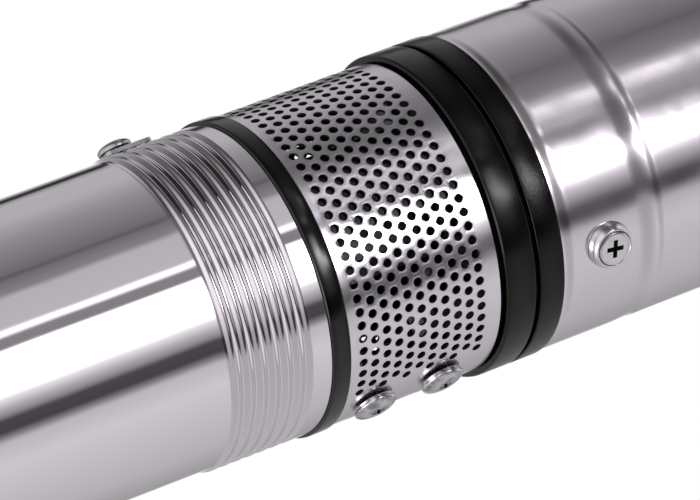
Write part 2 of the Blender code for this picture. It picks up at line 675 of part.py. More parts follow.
def motor_flange(finish):
    """Top end bell of the motor: rim, spigot, bearing hub and seal pocket."""
    wall = MOTOR_FIT_R - SPIGOT_WALL
    pocket = MOTOR_FACE - SEAL_POCKET_DEPTH
    passage = MOTOR_SHAFT_R + 4 * GAP
    seat_top = UPPER_BUSH_TOP + GAP
    profile = [(FLANGE_R, RIM_BOTTOM), (FLANGE_R, RIM_TOP), (FLANGE_R - RIM_GROOVE_DEPTH, RIM_TOP),
               (FLANGE_R - RIM_GROOVE_DEPTH, MOTOR_FACE), (SEAL_POCKET_R, MOTOR_FACE),
               (SEAL_POCKET_R, pocket), (passage, pocket), (passage, seat_top), (BUSH_SEAT_R, seat_top),
               (BUSH_SEAT_R, UPPER_BUSH_BOTTOM), (BEARING_HUB_R, UPPER_BUSH_BOTTOM),
               (BEARING_HUB_R, FLANGE_WEB_BOTTOM), (wall, FLANGE_WEB_BOTTOM),
               (wall, FLANGE_SPIGOT_BOTTOM), (MOTOR_FIT_R, FLANGE_SPIGOT_BOTTOM),
               (MOTOR_FIT_R, RIM_BOTTOM)]
    flange = mesh_object("motor_flange", turned(profile, SHELL_STEPS), finish)
    carve(flange, screw_holes())
    holes = [at_bolt(rod(BOLT_R + GAP, MOTOR_FACE - BOLT_DEPTH - GAP, MOTOR_FACE + GAP, 8), a)
             for a in bolt_angles()]
    holes.append(lead_place(rod(LEAD_R + LEAD_GROMMET_WALL + GAP, FLANGE_WEB_BOTTOM - GAP,
                                MOTOR_FACE + GAP, FINE_STEPS), LEAD_RADIUS))
    return carve(flange, joined(holes))


def lead_grommet(finish):
    """Rubber grommet that seals the supply lead where it enters the motor."""
    bm = ring(LEAD_R, LEAD_R + LEAD_GROMMET_WALL, FLANGE_WEB_BOTTOM, MOTOR_FACE, FINE_STEPS)
    return mesh_object("lead_grommet", lead_place(bm, LEAD_RADIUS), finish)


def shaft_seal(finishes_of, shaft):
    bore = MOTOR_SHAFT_R + GAP
    seat_bottom = MOTOR_FACE - SEAL_POCKET_DEPTH + GAP
    mesh_object("seal_seat", ring(BUSH_BORE_R, SEAL_POCKET_R - GAP, seat_bottom, SEAL_SEAT_TOP,
                                  SMALL_STEPS), finishes_of["carbon"])
    mesh_object("seal_ring", ring(bore, SEAL_RING_FACE_R, SEAL_SEAT_TOP + GAP, SEAL_FACE_TOP,
                                  SMALL_STEPS), finishes_of["machined"], shaft)
    mesh_object("seal_spring", coil(bore + 2 * SEAL_SPRING_WIRE_R + GAP, SEAL_SPRING_WIRE_R,
                                    SEAL_FACE_TOP + GAP, SLINGER_BOTTOM - GAP, SEAL_SPRING_TURNS),
                finishes_of["machined"], shaft)
    lip = SLINGER_HEIGHT / 2
    profile = [(bore, SLINGER_BOTTOM), (SLINGER_R - lip, SLINGER_BOTTOM), (SLINGER_R, SLINGER_BOTTOM),
               (SLINGER_R, SLINGER_BOTTOM + lip), (SLINGER_R - lip, SLINGER_TOP), (bore, SLINGER_TOP)]
    mesh_object("sand_slinger", turned(profile, SMALL_STEPS), finishes_of["rubber"], shaft)


def shell_screws(finishes_of):
    """Countersunk screws in raised cup washers round the motor shell."""
    seat = MOTOR_SHELL_R + GAP
    cup_top = seat + CUP_WASHER_HEIGHT
    head_top = cup_top + GAP
    head_bottom = head_top - SHELL_SCREW_HEAD
    tip = MOTOR_BORE_R - SHELL_SCREW_SHANK
    hole = SHELL_SCREW_SHANK_R + 2 * GAP
    for number, angle in enumerate(screw_angles(), 1):
        screw = turned([(0, tip), (SHELL_SCREW_SHANK_R, tip), (SHELL_SCREW_SHANK_R, head_bottom),
                        (SHELL_SCREW_HEAD_R, head_top), (0, head_top)], FINE_STEPS)
        mesh_object(f"shell_screw_{number}", radial(screw, angle, SHELL_SCREW_Z), finishes_of["machined"])
        cup = turned([(CUP_WASHER_R, seat), (CUP_WASHER_R - CUP_WASHER_TAPER, cup_top),
                      (SHELL_SCREW_HEAD_R + GAP, cup_top), (hole, head_bottom - GAP), (hole, seat)],
                     FINE_STEPS)
        mesh_object(f"cup_washer_{number}", radial(cup, angle, SHELL_SCREW_Z), finishes_of["machined"])


def flange_bolts(finish):
    """Hex bolts that hold the suction bracket down on the motor's end bell."""
    seat = BRACKET_RIM_TOP + GAP
    top = seat + BOLT_HEAD_HEIGHT
    tip = MOTOR_FACE - BOLT_DEPTH
    for number, angle in enumerate(bolt_angles(), 1):
        bolt = mesh_object(f"flange_bolt_{number}", at_bolt(rod(BOLT_R, tip, top - BOLT_R, 8), angle), finish)
        carve(bolt, at_bolt(rod(BOLT_HEAD_R, seat, top, 6), angle), "UNION")


def lead_flat(bottom, top, depth=LEAD_FLAT_DEPTH):
    """Cutter of the flat that leaves room for the supply lead beside a fitted piece."""
    face = PUMP_FIT_R - depth
    bm = block((face, -LEAD_FLAT_WIDTH / 2, bottom), (PUMP_FIT_R + LEAD_FLAT_DEPTH,
                                                      LEAD_FLAT_WIDTH / 2, top))
    return turn_about_z(bm, LEAD_ANGLE)


def suction_bracket(finish):
    """Lantern between motor and pump: rim, four pillars, funnel and threaded spigot."""
    inner = BRACKET_BORE_R
    profile = [(FLANGE_R, BRACKET_BOTTOM), (FLANGE_R, BRACKET_RIM_TOP), (BRACKET_BODY_R, BRACKET_RIM_TOP),
               (BRACKET_BODY_R, STRAINER_TOP), (PUMP_FIT_R, STRAINER_TOP), (PUMP_FIT_R, BRACKET_TOP),
               (THROAT_R, BRACKET_TOP), (THROAT_R, BRACKET_TOP - THROAT_LENGTH),
               (inner, STRAINER_TOP - WINDOW_MARGIN), (inner, BRACKET_RIM_TOP),
               (BRACKET_HOLE_R, BRACKET_RIM_TOP), (BRACKET_HOLE_R, BRACKET_BOTTOM)]
    bracket = mesh_object("suction_bracket", turned(profile, SHELL_STEPS), finish)
    low = STRAINER_BOTTOM + WINDOW_MARGIN / 2
    high = STRAINER_TOP - WINDOW_MARGIN
    windows = [turn_about_z(block((inner - 4 * BRACKET_WALL, -WINDOW_WIDTH / 2, low),
                                  (FLANGE_R, WINDOW_WIDTH / 2, high)), SEAM_ANGLE + 45 + 90 * i)
               for i in range(4)]
    carve(bracket, joined(windows))
    drilled = [at_bolt(rod(BOLT_R + GAP, BRACKET_BOTTOM - GAP, BRACKET_RIM_TOP + GAP, 8), a)
               for a in bolt_angles()]
    drilled.append(lead_place(rod(LEAD_R + LEAD_GROMMET_WALL, BRACKET_BOTTOM - GAP,
                                  BRACKET_RIM_TOP + GAP, FINE_STEPS), LEAD_RADIUS))
    drilled += seam_screw_holes(BRACKET_BODY_R - PAN_SHANK - GAP)
    drilled.append(lock_screw_hole(PUMP_BORE_R - PAN_SHANK - GAP))
    drilled.append(lead_flat(STRAINER_TOP - WINDOW_MARGIN - GAP, BRACKET_TOP + GAP))
    return carve(bracket, joined(drilled))


def seam_screw_holes(depth):
    return [radial(rod(PAN_SHANK_R + GAP, depth, STRAINER_R + 2 * GAP, 8), SEAM_ANGLE,
                   STRAINER_BOTTOM + up) for up in SEAM_SCREW_UP]


def lock_screw_hole(depth):
    return radial(rod(PAN_SHANK_R + GAP, depth, THREAD_BAND_R + 2 * GAP, 8), LOCK_ANGLE, LOCK_SCREW_Z)


def pierced(bm, corners):
    """A flat four-sided cell of sheet with an eight-sided hole in its middle."""
    low_left, low_right, high_right, high_left = corners
    centre = sum((v.co for v in corners), Vector()) / 4
    across = (low_right.co - low_left.co).normalized()
    up = (high_left.co - low_left.co).normalized()
    edge = []
    for k in range(8):
        angle = math.radians(22.5 + 45 * k)
        edge.append(bm.verts.new(centre + across * STRAINER_HOLE_R * math.cos(angle)
                                 + up * STRAINER_HOLE_R * math.sin(angle)))
    bm.faces.new((high_right, edge[1], edge[0]))
    bm.faces.new((high_left, edge[3], edge[2]))
    bm.faces.new((low_left, edge[5], edge[4]))
    bm.faces.new((low_right, edge[7], edge[6]))
    bm.faces.new((high_left, edge[2], edge[1], high_right))
    bm.faces.new((low_left, edge[4], edge[3], high_left))
    bm.faces.new((low_right, edge[6], edge[5], low_left))
    bm.faces.new((high_right, edge[0], edge[7], low_right))


def strainer(finish):
    """Perforated sheet wrapped round the lantern, plain along its seam and edges.

    The real sheet has about seven hundred holes of 2.8 mm; here they are
    grouped into larger staggered openings.
    """
    bm = bmesh.new()
    pitch = (STRAINER_HEIGHT - 2 * STRAINER_MARGIN) / STRAINER_ROWS
    levels = [STRAINER_BOTTOM]
    levels += [STRAINER_BOTTOM + STRAINER_MARGIN + pitch * i for i in range(STRAINER_ROWS + 1)]
    levels.append(STRAINER_TOP)
    lines = []
    for height in levels:
        lines.append([bm.verts.new((STRAINER_R * math.cos(math.tau * i / STRAINER_COLUMNS),
                                    STRAINER_R * math.sin(math.tau * i / STRAINER_COLUMNS), height))
                      for i in range(STRAINER_COLUMNS)])
    seam = SEAM_ANGLE / 360 * STRAINER_COLUMNS - 0.5
    for row, (below, above) in enumerate(zip(lines, lines[1:])):
        for i in range(STRAINER_COLUMNS):
            n = (i + 1) % STRAINER_COLUMNS
            corners = (below[i], below[n], above[n], above[i])
            off_seam = abs((i - seam + STRAINER_COLUMNS / 2) % STRAINER_COLUMNS - STRAINER_COLUMNS / 2)
            if 1 <= row <= STRAINER_ROWS and (row + i) % 2 and off_seam > STRAINER_SEAM_COLUMNS / 2:
                pierced(bm, corners)
            else:
                bm.faces.new(corners)
    sheet = mesh_object("strainer", bm, finish)
    wall = sheet.modifiers.new("sheet", "SOLIDIFY")
    wall.thickness = STRAINER_WALL
    wall.offset = -1.0
    wall.use_even_offset = True
    return carve(sheet, joined(seam_screw_holes(BRACKET_BODY_R - STRAINER_WALL)))


def pan_screw(seat, shank, head_r=PAN_HEAD_R):
    """Pan-head screw along Z with its head above the seat height."""
    top = seat + PAN_HEAD_HEIGHT
    return turned([(0, seat - shank), (PAN_SHANK_R, seat - shank), (PAN_SHANK_R, seat), (head_r, seat),
                   (head_r, seat + PAN_HEAD_HEIGHT * 0.35),
                   (head_r * 0.75, seat + PAN_HEAD_HEIGHT * 0.82), (0, top)], FINE_STEPS)


def strainer_screws(finish):
    seat = STRAINER_R + GAP
    shank = seat - BRACKET_BODY_R + PAN_SHANK
    for number, up in enumerate(SEAM_SCREW_UP, 1):
        screw = radial(pan_screw(seat, shank), SEAM_ANGLE, STRAINER_BOTTOM + up)
        mesh_object(f"strainer_screw_{number}", screw, finish)


def shell_seal_ring(finish):
    inner = PUMP_FIT_R + GAP
    soft = SEAL_RING_HEIGHT / 8
    profile = [(SEAL_RING_R - soft, RING_BOTTOM), (SEAL_RING_R, RING_BOTTOM + soft),
               (SEAL_RING_R, RING_TOP - soft), (SEAL_RING_R - soft, RING_TOP),
               (inner, RING_TOP), (inner, RING_BOTTOM)]
    return mesh_object("shell_seal_ring", turned(profile, SHELL_STEPS), finish)


def coupling(finish, shaft):
    bore = COUPLED_SHAFT_R + GAP
    profile = [(bore, COUPLING_BOTTOM), (COUPLING_R - COUPLING_CHAMFER, COUPLING_BOTTOM),
               (COUPLING_R, COUPLING_BOTTOM + COUPLING_CHAMFER), (COUPLING_R, COUPLING_TOP - COUPLING_CHAMFER),
               (COUPLING_R - COUPLING_CHAMFER, COUPLING_TOP), (bore, COUPLING_TOP)]
    return mesh_object("coupling", turned(profile, SMALL_STEPS), finish, shaft)


def pump_shell(finish):
    """Thin tube with a thicker threaded band at its foot, rolled into the head at its top."""
    step = PUMP_SHELL_BOTTOM + THREAD_BAND_HEIGHT
    outer_crimp = groove(PUMP_SHELL_R, CRIMP_DEPTH, CRIMP_Z, CRIMP_HALF)
    inner_crimp = groove(PUMP_BORE_R, CRIMP_DEPTH, CRIMP_Z, CRIMP_HALF)[::-1]
    profile = ([(THREAD_BAND_R, PUMP_SHELL_BOTTOM), (THREAD_BAND_R, step - THREAD_STEP),
                (PUMP_SHELL_R, step)] + outer_crimp
               + [(PUMP_SHELL_R, PUMP_SHELL_TOP), (PUMP_BORE_R, PUMP_SHELL_TOP)] + inner_crimp
               + [(PUMP_BORE_R, PUMP_SHELL_BOTTOM)])
    shell = mesh_object("pump_shell", turned(profile, SHELL_STEPS), finish)
    return carve(shell, lock_screw_hole(PUMP_BORE_R - PUMP_WALL))


def lock_plate(finish):
    seat = THREAD_BAND_R + GAP
    low = -LOCK_PLATE_BELOW_SCREW
    high = low + LOCK_PLATE_LENGTH
    bm = block((seat, -LOCK_PLATE_WIDTH / 2, low), (seat + LOCK_PLATE_THICKNESS, LOCK_PLATE_WIDTH / 2, high))
    uprights = [e for e in bm.edges if abs(e.verts[0].co.x - e.verts[1].co.x) > GAP]
    bmesh.ops.bevel(bm, geom=uprights, offset=LOCK_PLATE_WIDTH / 6, offset_type="OFFSET", segments=1,
                    profile=0.5, affect="EDGES", material=-1)
    plate = mesh_object("lock_plate", turn_about_z(move(bm, z=LOCK_SCREW_Z), LOCK_ANGLE), finish)
    hole = rod(PAN_SHANK_R + GAP, seat - GAP, seat + LOCK_PLATE_THICKNESS + GAP, 8)
    return carve(plate, radial(hole, LOCK_ANGLE, LOCK_SCREW_Z))


def lock_screw(finish):
    seat = THREAD_BAND_R + LOCK_PLATE_THICKNESS + 2 * GAP
    shank = seat - PUMP_BORE_R + PAN_SHANK
    screw = pan_screw(seat, shank, PAN_HEAD_R * LOCK_HEAD_SCALE)
    return mesh_object("lock_screw", radial(screw, LOCK_ANGLE, LOCK_SCREW_Z), finish)


def stage(number, finishes_of, shaft):
    """One stage: bowl, wear ring, impeller and guide vanes."""
    base = STACK_BOTTOM + STAGE_PITCH * (number - 1)
    top = base + STAGE_PITCH - GAP
    web_top = base + BOWL_WEB
    seat_r = WEAR_RING_R + GAP
    bowl = turned([(seat_r, base), (PUMP_FIT_R, base), (PUMP_FIT_R, top), (BOWL_BORE_R, top),
                   (BOWL_BORE_R, web_top), (seat_r, web_top)], SHELL_STEPS)
    bowl = mesh_object(f"stage_bowl_{number}", bowl, finishes_of["machined"])
    carve(bowl, lead_flat(base - GAP, top + GAP))
    mesh_object(f"wear_ring_{number}", ring(WEAR_RING_BORE_R, WEAR_RING_R, base, web_top, SMALL_STEPS),
                finishes_of["rubber"])
    front = web_top + SHROUD_CLEARANCE
    back = front + SHROUD + PASSAGE
    impeller(number, base, front, back, top, finishes_of["plastic"], shaft)
    disc_bottom = back + SHROUD + SHROUD_CLEARANCE
    disc = ring(GUIDE_INNER_R, GUIDE_DISC_R, disc_bottom, disc_bottom + GUIDE_DISC, SMALL_STEPS)
    guide = mesh_object(f"guide_vanes_{number}", disc, finishes_of["plastic"])
    vane_reach = BOWL_BORE_R * math.cos(math.pi / SHELL_STEPS) - GAP
    carve(guide, curved_vanes(GUIDE_VANES, GUIDE_INNER_R + BLADE_THICKNESS, vane_reach, GUIDE_SWEEP,
                              BLADE_THICKNESS, disc_bottom + GUIDE_DISC / 2, top), "UNION")


def impeller(number, base, front, back, top, finish, shaft):
    """Closed impeller: eye ring and front shroud, blades, back shroud on a long hub."""
    eye_in = IMPELLER_EYE_R - EYE_WALL
    eye = turned([(eye_in, base + GAP), (IMPELLER_EYE_R, base + GAP), (IMPELLER_EYE_R, front),
                  (IMPELLER_R, front), (IMPELLER_R, front + SHROUD), (eye_in, front + SHROUD)], SMALL_STEPS)
    wheel = mesh_object(f"impeller_{number}", eye, finish, shaft)
    bore = PUMP_SHAFT_R + GAP
    hub = turned([(bore, base), (IMPELLER_HUB_R, base), (IMPELLER_HUB_R, back), (IMPELLER_R, back),
                  (IMPELLER_R, back + SHROUD), (IMPELLER_HUB_R, back + SHROUD), (IMPELLER_HUB_R, top),
                  (bore, top)], SMALL_STEPS)
    blades = curved_vanes(BLADES, BLADE_INNER_R, IMPELLER_R * math.cos(math.pi / SMALL_STEPS) - GAP,
                          BLADE_SWEEP, BLADE_THICKNESS, front + SHROUD / 2, back + SHROUD / 2)
    carve(wheel, blades, "UNION")
    carve(wheel, hub, "UNION")


def pump_shaft(finish, shaft):
    joint = SHAFT_JOINT + GAP / 2
    profile = [(0, joint), (PUMP_SHAFT_R, joint), (PUMP_SHAFT_R, STACK_TOP - GAP),
               (PUMP_JOURNAL_R, STACK_TOP - GAP), (PUMP_JOURNAL_R, TOP_HUB_TOP), (0, TOP_HUB_TOP)]
    return mesh_object("pump_shaft", turned(profile, SMALL_STEPS), finish, shaft)


def impeller_nut(finish, shaft):
    nut = mesh_object("impeller_nut", rod(IMPELLER_NUT_R, STACK_TOP, NUT_TOP, 6), finish, shaft)
    return carve(nut, rod(PUMP_JOURNAL_R + GAP, STACK_TOP - GAP, NUT_TOP + GAP, SMALL_STEPS))


def bearing_spider(finishes_of):
    rim_in = PUMP_FIT_R - SPIDER_RIM_IN
    seat_r = TOP_BUSH_R + GAP
    profile = [(PUMP_FIT_R, STACK_TOP), (PUMP_FIT_R, SPIDER_TOP), (rim_in, SPIDER_TOP),
               (TOP_HUB_R, TOP_HUB_TOP), (seat_r, TOP_HUB_TOP), (seat_r, TOP_HUB_BOTTOM),
               (TOP_HUB_R, TOP_HUB_BOTTOM), (rim_in, STACK_TOP)]
    spider = mesh_object("bearing_spider", turned(profile, SHELL_STEPS), finishes_of["black"])
    windows = [turn_about_z(block((TOP_HUB_R + 4 * GAP, -SPIDER_WINDOW_WIDTH / 2, STACK_TOP - GAP),
                                  (rim_in - 4 * GAP, SPIDER_WINDOW_WIDTH / 2, TOP_HUB_TOP + GAP)),
                            LEAD_ANGLE + 360 * i / SPIDER_WINDOWS) for i in range(SPIDER_WINDOWS)]
    carve(spider, joined(windows))
    carve(spider, lead_flat(STACK_TOP - GAP, TOP_HUB_TOP, SPIDER_RIM_IN + 6 * GAP))
    bush = ring(TOP_BUSH_BORE_R, TOP_BUSH_R, TOP_HUB_BOTTOM, TOP_HUB_TOP, SMALL_STEPS)
    mesh_object("top_bearing_bush", bush, finishes_of["rubber"])


def ear(side):
    """Lifting eye plate in the XZ plane, rounded over its hole."""
    centre = EAR_REACH - EAR_HOLE_R
    foot = HEAD_RIM_TOP + EAR_FOOT
    outline = [(NECK_R - 2 * NECK_CHAMFER, foot), (centre + EAR_ROUND_R * 0.8, foot)]
    outline += [(centre + EAR_ROUND_R * math.cos(math.radians(a)),
                 EAR_HOLE_Z + EAR_ROUND_R * math.sin(math.radians(a))) for a in range(0, 91, 30)]
    outline.append((NECK_R - 2 * NECK_CHAMFER, EAR_HOLE_Z + EAR_ROUND_R))
    return extruded([(side * x, -EAR_THICKNESS / 2, z) for x, z in outline], (0, EAR_THICKNESS, 0))


def ear_hole(side):
    bm = rod(EAR_HOLE_R, -EAR_THICKNESS, EAR_THICKNESS, 10)
    bmesh.ops.rotate(bm, verts=bm.verts, matrix=Matrix.Rotation(math.radians(90), 3, "X"))
    return move(bm, x=side * (EAR_REACH - EAR_HOLE_R), z=EAR_HOLE_Z)


def discharge_head(finish):
    """Outlet head: crimped spigot, shoulder, threaded socket, lifting eyes, gland boss."""
    crimp = groove(PUMP_FIT_R, CRIMP_DEPTH, CRIMP_Z, CRIMP_HALF + GAP)
    profile = ([(PUMP_FIT_R, HEAD_BOTTOM)] + crimp
               + [(PUMP_FIT_R, HEAD_RIM_BOTTOM), (HEAD_RIM_R, HEAD_RIM_BOTTOM), (HEAD_RIM_R, HEAD_RIM_TOP),
                  (NECK_R, SHOULDER_TOP), (NECK_R, HEAD_TOP - NECK_CHAMFER),
                  (NECK_R - NECK_CHAMFER, HEAD_TOP), (SOCKET_R, HEAD_TOP), (SOCKET_R, SOCKET_BOTTOM),
                  (CHAMBER_R, SOCKET_BOTTOM), (CHAMBER_R, SEAT_TOP + GAP),
                  (VALVE_SEAT_R + GAP, SEAT_TOP + GAP), (VALVE_SEAT_R + GAP, SEAT_BOTTOM),
                  (HEAD_FUNNEL_R, HEAD_BOTTOM)])
    head = mesh_object("discharge_head", turned(profile, SHELL_STEPS), finish)
    carve(head, lead_flat(HEAD_BOTTOM - GAP, HEAD_BOTTOM + LEAD_FLAT_WIDTH / 2,
                          PUMP_FIT_R - GLAND_RADIUS + LEAD_R / 2))
    for side in (1, -1):
        carve(head, ear(side), "UNION")
        carve(head, ear_hole(side))
    boss = lead_place(rod(GLAND_BOSS_R, HEAD_RIM_TOP - HEAD_RIM_HEIGHT / 2, GLAND_BOSS_TOP,
                          FINE_STEPS), GLAND_RADIUS)
    carve(head, boss, "UNION")
    hole = lead_place(rod(LEAD_R + GAP, HEAD_BOTTOM - GAP, GLAND_BOSS_TOP + GAP, FINE_STEPS),
                      GLAND_RADIUS)
    return carve(head, hole)


def check_valve(finishes_of, valve):
    seat = turned([(VALVE_SEAT_R, SEAT_BOTTOM), (VALVE_SEAT_R, SEAT_TOP), (VALVE_THROAT_R, SEAT_TOP),
                   (VALVE_THROAT_R, SEAT_BOTTOM)], SHELL_STEPS)
    mesh_object("valve_seat", seat, finishes_of["brass"])
    boss = GUIDE_CAGE_HUB_R
    poppet = turned([(0, POPPET_BOTTOM), (POPPET_R, POPPET_BOTTOM), (POPPET_R, POPPET_TOP),
                     (boss, POPPET_TOP), (STEM_R, POPPET_TOP + boss / 2), (STEM_R, STEM_TOP),
                     (0, STEM_TOP)], SMALL_STEPS)
    mesh_object("valve_poppet", poppet, finishes_of["brass"], valve)
    rim = CHAMBER_R - GAP
    bore = STEM_R + STEM_CLEARANCE
    cage = mesh_object("valve_guide_cage", ring(bore, rim, CAGE_BOTTOM, CAGE_TOP, SHELL_STEPS),
                       finishes_of["plastic"])
    inner, outer = GUIDE_CAGE_HUB_R, rim - GUIDE_CAGE_RIM
    third = math.tau / 3
    slots = [sector(inner, outer, third * (i + 0.11), third * 0.78, CAGE_BOTTOM - GAP, CAGE_TOP + GAP, 3)
             for i in range(3)]
    carve(cage, joined(slots))
    mesh_object("valve_spring", coil(SPRING_R, SPRING_WIRE_R, POPPET_TOP + GAP, CAGE_BOTTOM - GAP,
                                     SPRING_TURNS), finishes_of["machined"])


def cable_gland(finishes_of):
    base = GLAND_BOSS_TOP + GAP
    hex_top = base + GLAND_HEX_HEIGHT
    barrel_top = hex_top + GLAND_BARREL_HEIGHT
    pocket_r = GLAND_BARREL_R - GLAND_SEAL_WALL
    pocket_bottom = barrel_top - GLAND_SEAL_HEIGHT
    body = mesh_object("gland_body", lead_place(rod(GLAND_HEX_R, base, hex_top, 6), GLAND_RADIUS),
                       finishes_of["black"])
    carve(body, lead_place(rod(GLAND_BARREL_R, hex_top - GLAND_HEX_HEIGHT / 2, barrel_top,
                               FINE_STEPS), GLAND_RADIUS), "UNION")
    bore = turned([(0, base - GAP), (LEAD_R, base - GAP), (LEAD_R, pocket_bottom),
                   (pocket_r, pocket_bottom), (pocket_r, barrel_top + GAP), (0, barrel_top + GAP)],
                  FINE_STEPS)
    carve(body, lead_place(bore, GLAND_RADIUS))
    seal = ring(LEAD_R, pocket_r - GAP, pocket_bottom + GAP, barrel_top, FINE_STEPS)
    mesh_object("gland_seal", lead_place(seal, GLAND_RADIUS), finishes_of["rubber"])
    nut_bottom = barrel_top + GAP + GLAND_NUT_LID - GLAND_NUT_HEIGHT
    nut_top = barrel_top + GAP + GLAND_NUT_LID
    bore = GLAND_BARREL_R + GAP
    nut = turned([(GLAND_HEX_R, nut_bottom), (GLAND_HEX_R, nut_top), (LEAD_R, nut_top),
                  (LEAD_R, barrel_top + GAP), (bore, barrel_top + GAP), (bore, nut_bottom)], FINE_STEPS)
    mesh_object("gland_nut", lead_place(nut, GLAND_RADIUS), finishes_of["black"])


def build():
    clear_scene()
    look = finishes()
    shaft = empty("shaft_axis", (0, 0, SHAFT_JOINT))
    valve = empty("valve_axis", (0, 0, POPPET_BOTTOM))
    base_cap(look["black"])
    diaphragm(look["rubber"])
    thrust_pads(look["machined"])
    thrust_disc(look["machined"], shaft)
    lower_bearing_bracket(look["iron"])
    bearing_bush("lower_bearing_bush", LOWER_BUSH_BOTTOM, look["carbon"])
    stator(look)
    rotor_core(look["laminated"], shaft)
    motor_shaft(look["machined"], shaft)
    motor_shell(look["brushed"])
    motor_flange(look["black"])
    bearing_bush("upper_bearing_bush", UPPER_BUSH_BOTTOM, look["carbon"])
    lead_grommet(look["rubber"])
    shaft_seal(look, shaft)
    shell_screws(look)
    flange_bolts(look["machined"])
    suction_bracket(look["black"])
    strainer(look["brushed"])
    strainer_screws(look["machined"])
    shell_seal_ring(look["rubber"])
    coupling(look["machined"], shaft)
    pump_shell(look["polished"])
    lock_plate(look["machined"])
    lock_screw(look["machined"])
    for number in range(1, STAGES + 1):
        stage(number, look, shaft)
    pump_shaft(look["machined"], shaft)
    impeller_nut(look["machined"], shaft)
    bearing_spider(look)
    discharge_head(look["black"])
    check_valve(look, valve)
    cable_gland(look)


build()
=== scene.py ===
"""Dressed model of the borehole submersible pump.

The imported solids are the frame. Fine pieces stand for the solids that show from
outside, and the rest keep their shape and get a procedural material. Lengths are
millimetres until `piece` turns them into metres. PHI is the angle round the pump
from the side that faces the camera, positive towards -X. Every other angle round
the pump is counted in degrees from +X towards +Y.
"""
import json
import math

import bmesh
import bpy
from mathutils import Matrix, Vector


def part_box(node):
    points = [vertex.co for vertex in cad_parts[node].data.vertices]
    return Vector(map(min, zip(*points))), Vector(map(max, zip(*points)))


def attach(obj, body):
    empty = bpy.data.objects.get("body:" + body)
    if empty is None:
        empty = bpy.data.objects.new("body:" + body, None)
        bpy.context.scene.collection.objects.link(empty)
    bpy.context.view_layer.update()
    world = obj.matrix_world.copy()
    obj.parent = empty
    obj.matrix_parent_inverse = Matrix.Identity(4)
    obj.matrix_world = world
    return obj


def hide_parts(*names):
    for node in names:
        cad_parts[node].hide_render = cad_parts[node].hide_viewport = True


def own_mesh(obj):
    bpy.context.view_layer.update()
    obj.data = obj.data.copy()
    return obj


MM = 0.001
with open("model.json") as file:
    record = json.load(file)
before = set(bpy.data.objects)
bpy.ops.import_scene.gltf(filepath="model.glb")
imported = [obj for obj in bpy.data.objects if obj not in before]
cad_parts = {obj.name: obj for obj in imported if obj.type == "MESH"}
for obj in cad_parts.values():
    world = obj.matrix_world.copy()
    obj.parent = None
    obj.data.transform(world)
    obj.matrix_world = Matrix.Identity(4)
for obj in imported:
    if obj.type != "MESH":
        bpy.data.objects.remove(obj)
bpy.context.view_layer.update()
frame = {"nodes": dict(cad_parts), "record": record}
scene = bpy.context.scene


# ---------------------------------------------------------------- materials

def linear(hex_colour):
    """An sRGB hex colour as linear RGBA."""
    values = [int(hex_colour[i:i + 2], 16) / 255 for i in (0, 2, 4)]
    return [v / 12.92 if v <= 0.04045 else ((v + 0.055) / 1.055) ** 2.4 for v in values] + [1.0]


def add(tree, kind, sockets=None, stops=None, **settings):
    """Adds one node: its settings, the values or links of its sockets, a ramp's stops."""
    made = tree.nodes.new(kind)
    for name, value in settings.items():
        setattr(made, name, value)
    for name, value in (sockets or {}).items():
        if isinstance(value, bpy.types.NodeSocket):
            tree.links.new(value, made.inputs[name])
        else:
            made.inputs[name].default_value = value
    if stops:
        elements = made.color_ramp.elements
        while len(elements) < len(stops):
            elements.new(0.5)
        for element, (place, value) in zip(elements, stops):
            element.position = place
            element.color = (value, value, value, 1.0)
    return made


TUBE_R = 0.047              # metres, the mean radius of the shells and the strainer


def wrapped(tree):
    """Object coordinates of a tube laid flat: arc length and height, in metres."""
    place = add(tree, "ShaderNodeTexCoord").outputs["Object"]
    xyz = add(tree, "ShaderNodeSeparateXYZ", {0: place})
    angle = add(tree, "ShaderNodeMath", {0: xyz.outputs["Y"], 1: xyz.outputs["X"]},
                operation="ARCTAN2")
    arc = add(tree, "ShaderNodeMath", {0: angle.outputs[0], 1: TUBE_R}, operation="MULTIPLY")
    return add(tree, "ShaderNodeCombineXYZ",
               {"X": arc.outputs[0], "Y": xyz.outputs["Z"]}).outputs[0]


